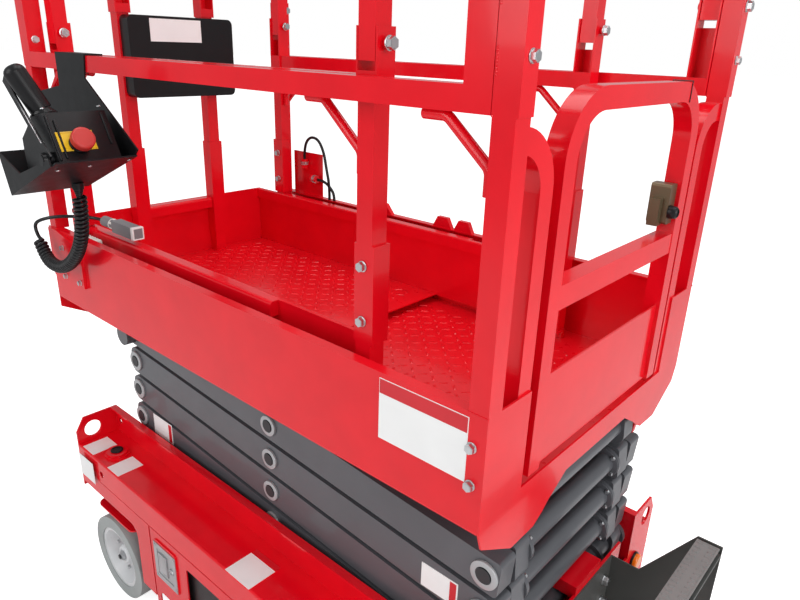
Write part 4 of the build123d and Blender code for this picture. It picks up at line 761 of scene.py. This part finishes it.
ribs = []
for rib_y, middle, half in ((-481, 47, 42), (-470, 44, 36), (-384, 58, 30)):
    rib = soften(block("rib", (-half, -1.8, -0.5), (half, 1.8, 3.2)), 1.4, 3)
    rib.data.transform(on_stop_face(rib_y, middle))
    ribs.append(rib)
settle(joined("control_box_ribs", ribs), "platform", "black_plastic", black_plastic)
tag = step_face(block("control_tag", (-5, -5, 0), (5, 5, 0.6)), lambda c, n: n.z > 0.9, 0.8, -0.1)
tag.data.transform(TRAY @ facing((172, -485, 46), (0, -1, 0)))
settle(tag, "platform", "rim_white", white_film)


def small_screw():
    """A round-headed screw with a dished face, along +Z."""
    screw = soften(disc("screw", 3.6, 0, 2.2, 20), 0.8)
    return step_face(screw, lambda c, n: n.z > 0.99, 1.2, -0.7)


screw = small_screw()
screws = [copy_to(screw, TRAY @ facing((u, y, -5), (0, 0, -1)))
          for u, y in ((196, -484), (206, -432), (222, -366))]
screws += [copy_to(screw, TRAY @ facing((u, y, 101), (0, 0, 1))) for u in (165, 196) for y in (-380, -479)]
settle(joined("control_box_screws", screws), "platform", "bright_steel", zinc)
boot_rings = [soften(disc("boot", 24 - 3 * n, 100 + 3.2 * n, 103.5 + 3.2 * n, 32), 0.9) for n in range(4)]
boot = joined("joystick_boot", boot_rings)
boot.data.transform(TRAY @ Matrix.Translation(at(157, -462, 0)))
settle(boot, "platform", "black_plastic", cable_rubber)
print("control box fittings done")

# %% [markdown]
# ## Door latches
# Each battery door has a pressed steel latch plate with a sunk paddle and a small lock. The plate's middle is
# inset and pushed in, and the paddle stands in that well.

# %% Latches
def latch(name, body, sign):
    """Latch plate with its paddle, lock and four screws, on one side."""
    way = (0, sign, 0)
    face = seat((-204, sign * 382, 250), way, 20)[1]
    plate = block(name, (-250, min(face, face + sign * 1.6), 200), (-158, max(face, face + sign * 1.6), 302))
    plate = step_face(plate, lambda c, n: n.y * sign > 0.9, 14, -1.4)
    proud = face + sign * 3.4
    paddle = block("paddle", (-230, min(face, proud), 222), (-196, max(face, proud), 280))
    paddle = soften(step_face(paddle, lambda c, n: n.y * sign > 0.9, 4, -1.0), 0.8)
    lock = soften(disc("lock", 9, 0, 4, 28), 0.8)
    lock = step_face(lock, lambda c, n: n.z > 0.99, 3, -1.6)
    lock.data.transform(facing((-178, face, 252), way))
    heads = [copy_to(screw, facing((x, face + sign * 1.4, z), way)) for x in (-243, -165) for z in (207, 295)]
    return settle(joined(name, [plate, paddle, lock, *heads]), body, "bright_steel", brushed)


latch("latch_right", "door_right", -1)
latch("latch_left", "door_left", 1)
bpy.data.objects.remove(screw)

# %% [markdown]
# ## Wheels
# The tyres are smooth, and the rims are dished and painted silver. The hub is a stepped cap round a hex nut
# with a dark tip, and five bolts stand round it. Two thin raised rings run round the side of each tyre, as a
# mould leaves them.

# %% Hubs and tyre rings
WHEELS = {"front_right": (-465.5, -1), "front_left": (-465.5, 1),
          "rear_right": (465.5, -1), "rear_left": (465.5, 1)}
AXLE_Z = 115


def hub():
    """A stepped hub cap with a nut and a dark centre, along +Z."""
    cap = soften(disc("hub", 27, 0, 7, 40, 22), 1.0)
    cap = step_face(cap, lambda c, n: n.z > 0.99, 5, -1.5)
    nut = step_face(disc("nut", 13, 3, 15, 6), lambda c, n: n.z > 0.9, 2, 1)
    tip = soften(disc("tip", 6.5, 14, 19, 24), 1.2)
    for part, material in ((cap, rim_paint), (nut, zinc), (tip, pin_dark)):
        part.data.materials.append(material)
    return joined("hub", [cap, nut, tip])


def sidewall_ring(radius, tube):
    """A thin raised ring that runs round the tyre's side."""
    deselect()
    bpy.ops.mesh.primitive_torus_add(major_radius=radius * MM, minor_radius=tube * MM, major_segments=96,
                                     minor_segments=8)
    ring = bpy.context.object
    bpy.ops.object.mode_set(mode="EDIT")
    bpy.ops.transform.resize(value=(1, 1, 0.5))
    return leave(ring)


hub_model = hub()
bolt_model = hex_bolt(10)
for name, (x, sign) in WHEELS.items():
    way = (0, sign, 0)
    face = seat((x, sign * 352, AXLE_Z), way, 45)
    settle(copy_to(hub_model, facing(face, way)), f"wheel_{name}", "rim_white").name = f"hub_{name}"
    rings = [sidewall_ring(radius, tube) for radius, tube in ((88.5, 1.4), (106, 1.1))]
    for ring in rings:
        ring.data.transform(facing((x, sign * 377.2, AXLE_Z), way))
    settle(joined(f"tyre_rings_{name}", rings), f"wheel_{name}", "tyre_rubber", tyre_rubber)
    centre, out = facing((x, face[1], AXLE_Z), way), Matrix.Translation(at(38, 0, -1.5))
    bolts = [copy_to(bolt_model, centre @ Matrix.Rotation(math.radians(72 * n), 4, "Z") @ out)
             for n in range(5)]
    settle(joined(f"wheel_bolts_{name}", bolts), f"wheel_{name}", "bright_steel", zinc)
bpy.data.objects.remove(hub_model)
bpy.data.objects.remove(bolt_model)
print("wheels dressed:", len(WHEELS))

# %% [markdown]
# ## Entry ladder
# The top step has a punched tread: a pale band with rows of raised teeth that grip a boot. The band is a box,
# and the teeth along it are small wedges copied in two rows.

# %% Ladder tread
def tooth():
    """A punched tooth: a low box with its top pinched to a ridge."""
    piece = block("tooth", (-5, -2.5, 0), (5, 2.5, 2.6))
    pick_faces(piece, lambda c, n: n.z > 0.9)
    bpy.ops.transform.resize(value=(0.8, 0.2, 1.0))
    return leave(piece)


TOOTH_PITCH = 14
step_z = (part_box("ladder")[1] / MM).z
band = block("ladder_band", (762, -150, step_z - 1), (802, 150, step_z + 0.6))
band = step_face(band, lambda c, n: n.z > 0.9, 3, -0.4)
model = tooth()
teeth = [copy_to(model, Matrix.Translation(at(x, -140 + TOOTH_PITCH * n, step_z)))
         for x in (771, 793) for n in range(21)]
bpy.data.objects.remove(model)
settle(joined("ladder_tread", [band, *teeth]), "chassis", "ladder_grey", tread_grey)
print("teeth:", len(teeth))

# %% [markdown]
# ## Nylon slider, gate hardware and lamp
# The slider between the panel and the extension is a ribbed nylon block. Bright caps close the ends of the
# gate's hinge pins, and a wire tie goes round its tube. The marker lamp gets a black bezel.

# %% Small fittings
low, high = [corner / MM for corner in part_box("nylon_slider")]
ridges = []
for number in range(9):
    x = low.x + 6 + number * (high.x - low.x - 16) / 8
    ridges.append(soften(block("ridge", (x, low.y, high.z - 1), (x + 6, high.y, high.z + 1.6)), 0.6))
settle(joined("slider_ridges", ridges), "platform", "white_nylon", pale_plastic)

GATE_PIN_X, GATE_PIN_Y = 580, -243.5
caps = []
for z in (984, 1075, 1139, 1237):
    cap = step_face(soften(disc("cap", 8, 0, 3, 24), 0.8), lambda c, n: n.z > 0.99, 2, 0.8)
    cap.data.transform(Matrix.Translation(at(GATE_PIN_X, GATE_PIN_Y, z)))
    caps.append(cap)
settle(joined("gate_hinge_caps", caps), "platform", "bright_steel", zinc)

low, high = [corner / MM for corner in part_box("gate_latch")]
grip = soften(disc("latch_knob", 12, 0, 14, 24, 10), 2)
grip.data.transform(facing((high.x, (low.y + high.y) / 2, low.z + 24), (1, 0, 0)))
grip = step_face(grip, lambda c, n: n.x > 0.9, 3, -1)
settle(grip, "gate", "black_plastic", black_plastic)

deselect()
bpy.ops.mesh.primitive_torus_add(major_radius=22 * MM, minor_radius=1.2 * MM, major_segments=4,
                                 minor_segments=8, location=at(593, 152, 1345),
                                 rotation=(math.pi / 2, math.pi / 4, 0))
tie = bpy.context.object
tie.name = "wire_tie"
bpy.ops.object.transform_apply(location=True, rotation=True, scale=True)
settle(soften(tie, 3, 3), "gate", "black_plastic", cable_rubber)

low, high = [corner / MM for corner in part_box("side_lamp")]
bezel = disc("lamp_bezel", 21, 0, 5, 40)
bezel = step_face(bezel, lambda c, n: n.z > 0.99, 2.6, -3)
bezel.data.transform(facing((high.x - 14, (low.y + high.y) / 2, (low.z + high.z) / 2), (1, 0, 0)))
settle(soften(bezel, 0.6), "chassis", "black_plastic", black_plastic)
boss = step_face(soften(disc("tray_cap", 15, 0, 4, 32), 1), lambda c, n: n.z > 0.99, 4, -1.2)
boss.data.transform(facing(seat((-497, -331, 398), (0, 0, 1), 30), (0, 0, 1)))
settle(boss, "chassis", "black_plastic", black_plastic)
print("small fittings done")

# %% [markdown]
# ## Weld beads
# The rails are welded tube. A bead is a row of overlapping flattened drops, each a small ball that is
# squeezed a little. Painted over, it only shows as a rippled fillet, which tells welded work from cast.

# %% Weld beads along the joints
def weld(name, body, runs, size=3.4):
    """Beads along straight runs, each given by its two ends in millimetres."""
    drops = []
    for start, end in runs:
        a, b = at(*start), at(*end)
        count = max(2, int((b - a).length / (size * 0.85 * MM)))
        for number in range(count):
            deselect()
            bpy.ops.mesh.primitive_ico_sphere_add(subdivisions=1, radius=size / 2 * MM,
                                                  location=a.lerp(b, number / (count - 1)))
            drop = bpy.context.object
            bpy.ops.object.mode_set(mode="EDIT")
            bpy.ops.transform.resize(value=(1, 1, 0.8))
            leave(drop)
            bpy.ops.object.transform_apply(location=True, rotation=True, scale=True)
            drops.append(drop)
    return settle(joined(name, drops), body, "red_paint", red_paint)


RAIL_LOW, RAIL_OUT, RAIL_IN = 1331, 354, 324
side_runs = []
for sign in (-1, 1):
    side_runs += [((579, sign * RAIL_OUT, z), (579, sign * RAIL_OUT, z + 28)) for z in (1372, 1440, 1508)]
    side_runs += [((578, sign * RAIL_OUT, 974), (608, sign * RAIL_OUT, 974)),
                  ((-602, sign * RAIL_OUT, RAIL_LOW), (-602, sign * RAIL_IN, RAIL_LOW)),
                  ((578, sign * RAIL_OUT, RAIL_LOW), (578, sign * RAIL_IN, RAIL_LOW))]
weld("rail_welds", "platform", side_runs)
ext_runs = []
for sign in (-1, 1):
    ext_runs += [((x, sign * 284, RAIL_LOW), (x, sign * 314, RAIL_LOW)) for x in (-557, 338)]
weld("extension_welds", "extension", ext_runs)
print("welds done")

# %% [markdown]
# ## Floor and light
# The floor is one pale sheet, far wider than the view. To the camera it glows a little on top of its own
# colour, so that where no shadow falls it is as white as the background, and it keeps the machine's shadow.
# The glow only answers camera rays, so it adds no light to the machine.

# %% Floor
deselect()
bpy.ops.mesh.primitive_plane_add(size=120, location=(0, 0, 0))
floor = bpy.context.object
floor.name = "floor"
pale = bpy.data.materials.new("pale_floor")
pale.use_nodes = True
tree = pale.node_tree
tree.nodes["Principled BSDF"].inputs["Base Color"].default_value = (0.8, 0.8, 0.8, 1)
tree.nodes["Principled BSDF"].inputs["Roughness"].default_value = 0.9
tree.nodes["Principled BSDF"].inputs["Specular IOR Level"].default_value = 0.0
glow = tree.nodes.new("ShaderNodeEmission")
path = tree.nodes.new("ShaderNodeLightPath")
FLOOR_GLOW = 0.8
share = tree.nodes.new("ShaderNodeMath")
share.operation = "MULTIPLY"
share.inputs[1].default_value = FLOOR_GLOW
both = tree.nodes.new("ShaderNodeAddShader")
tree.links.new(path.outputs["Is Camera Ray"], share.inputs[0])
tree.links.new(share.outputs["Value"], glow.inputs["Strength"])
tree.links.new(tree.nodes["Principled BSDF"].outputs["BSDF"], both.inputs[0])
tree.links.new(glow.outputs["Emission"], both.inputs[1])
tree.links.new(both.outputs["Shader"], tree.nodes["Material Output"].inputs["Surface"])
floor.data.materials.append(pale)

# %% [markdown]
# ## World and lamps
# The sky is white to the camera and through glass, and a dim pale grey to all other rays. That includes
# glossy rays, so paint and metal mirror the grey and the lamps. Three big soft lamps shape the machine.

# %% World and lamps
SKY_LIGHT = 0.5
world = bpy.data.worlds.new("studio")
bpy.context.scene.world = world
world.use_nodes = True
tree = world.node_tree
background = tree.nodes["Background"]
background.inputs["Color"].default_value = (0.92, 0.94, 0.96, 1)
background.inputs["Strength"].default_value = SKY_LIGHT
seen = tree.nodes.new("ShaderNodeBackground")
seen.inputs["Color"].default_value = (1, 1, 1, 1)
seen.inputs["Strength"].default_value = 1.0
path = tree.nodes.new("ShaderNodeLightPath")
any_view = tree.nodes.new("ShaderNodeMath")
any_view.operation = "MAXIMUM"
mix = tree.nodes.new("ShaderNodeMixShader")
tree.links.new(path.outputs["Is Camera Ray"], any_view.inputs[0])
tree.links.new(path.outputs["Is Transmission Ray"], any_view.inputs[1])
tree.links.new(any_view.outputs["Value"], mix.inputs["Fac"])
tree.links.new(background.outputs["Background"], mix.inputs[1])
tree.links.new(seen.outputs["Background"], mix.inputs[2])
tree.links.new(mix.outputs["Shader"], tree.nodes["World Output"].inputs["Surface"])


def softbox(name, place, aim, size, power):
    """A square area lamp at place that points at aim."""
    lamp = bpy.data.lights.new(name, "AREA")
    lamp.energy, lamp.size = power, size
    holder = bpy.data.objects.new(name, lamp)
    bpy.context.scene.collection.objects.link(holder)
    holder.location = place
    holder.rotation_euler = (Vector(aim) - Vector(place)).to_track_quat("-Z", "Y").to_euler()


softbox("rear_softbox", (3.6, -0.6, 2.2), (0.2, 0, 0.9), 2.4, 75)
softbox("side_softbox", (-0.6, -3.8, 2.6), (0, 0, 0.8), 2.6, 60)
softbox("top_softbox", (0.2, 0.6, 4.4), (0, 0, 0.8), 3.0, 75)
bpy.context.scene.view_settings.view_transform = "Standard"
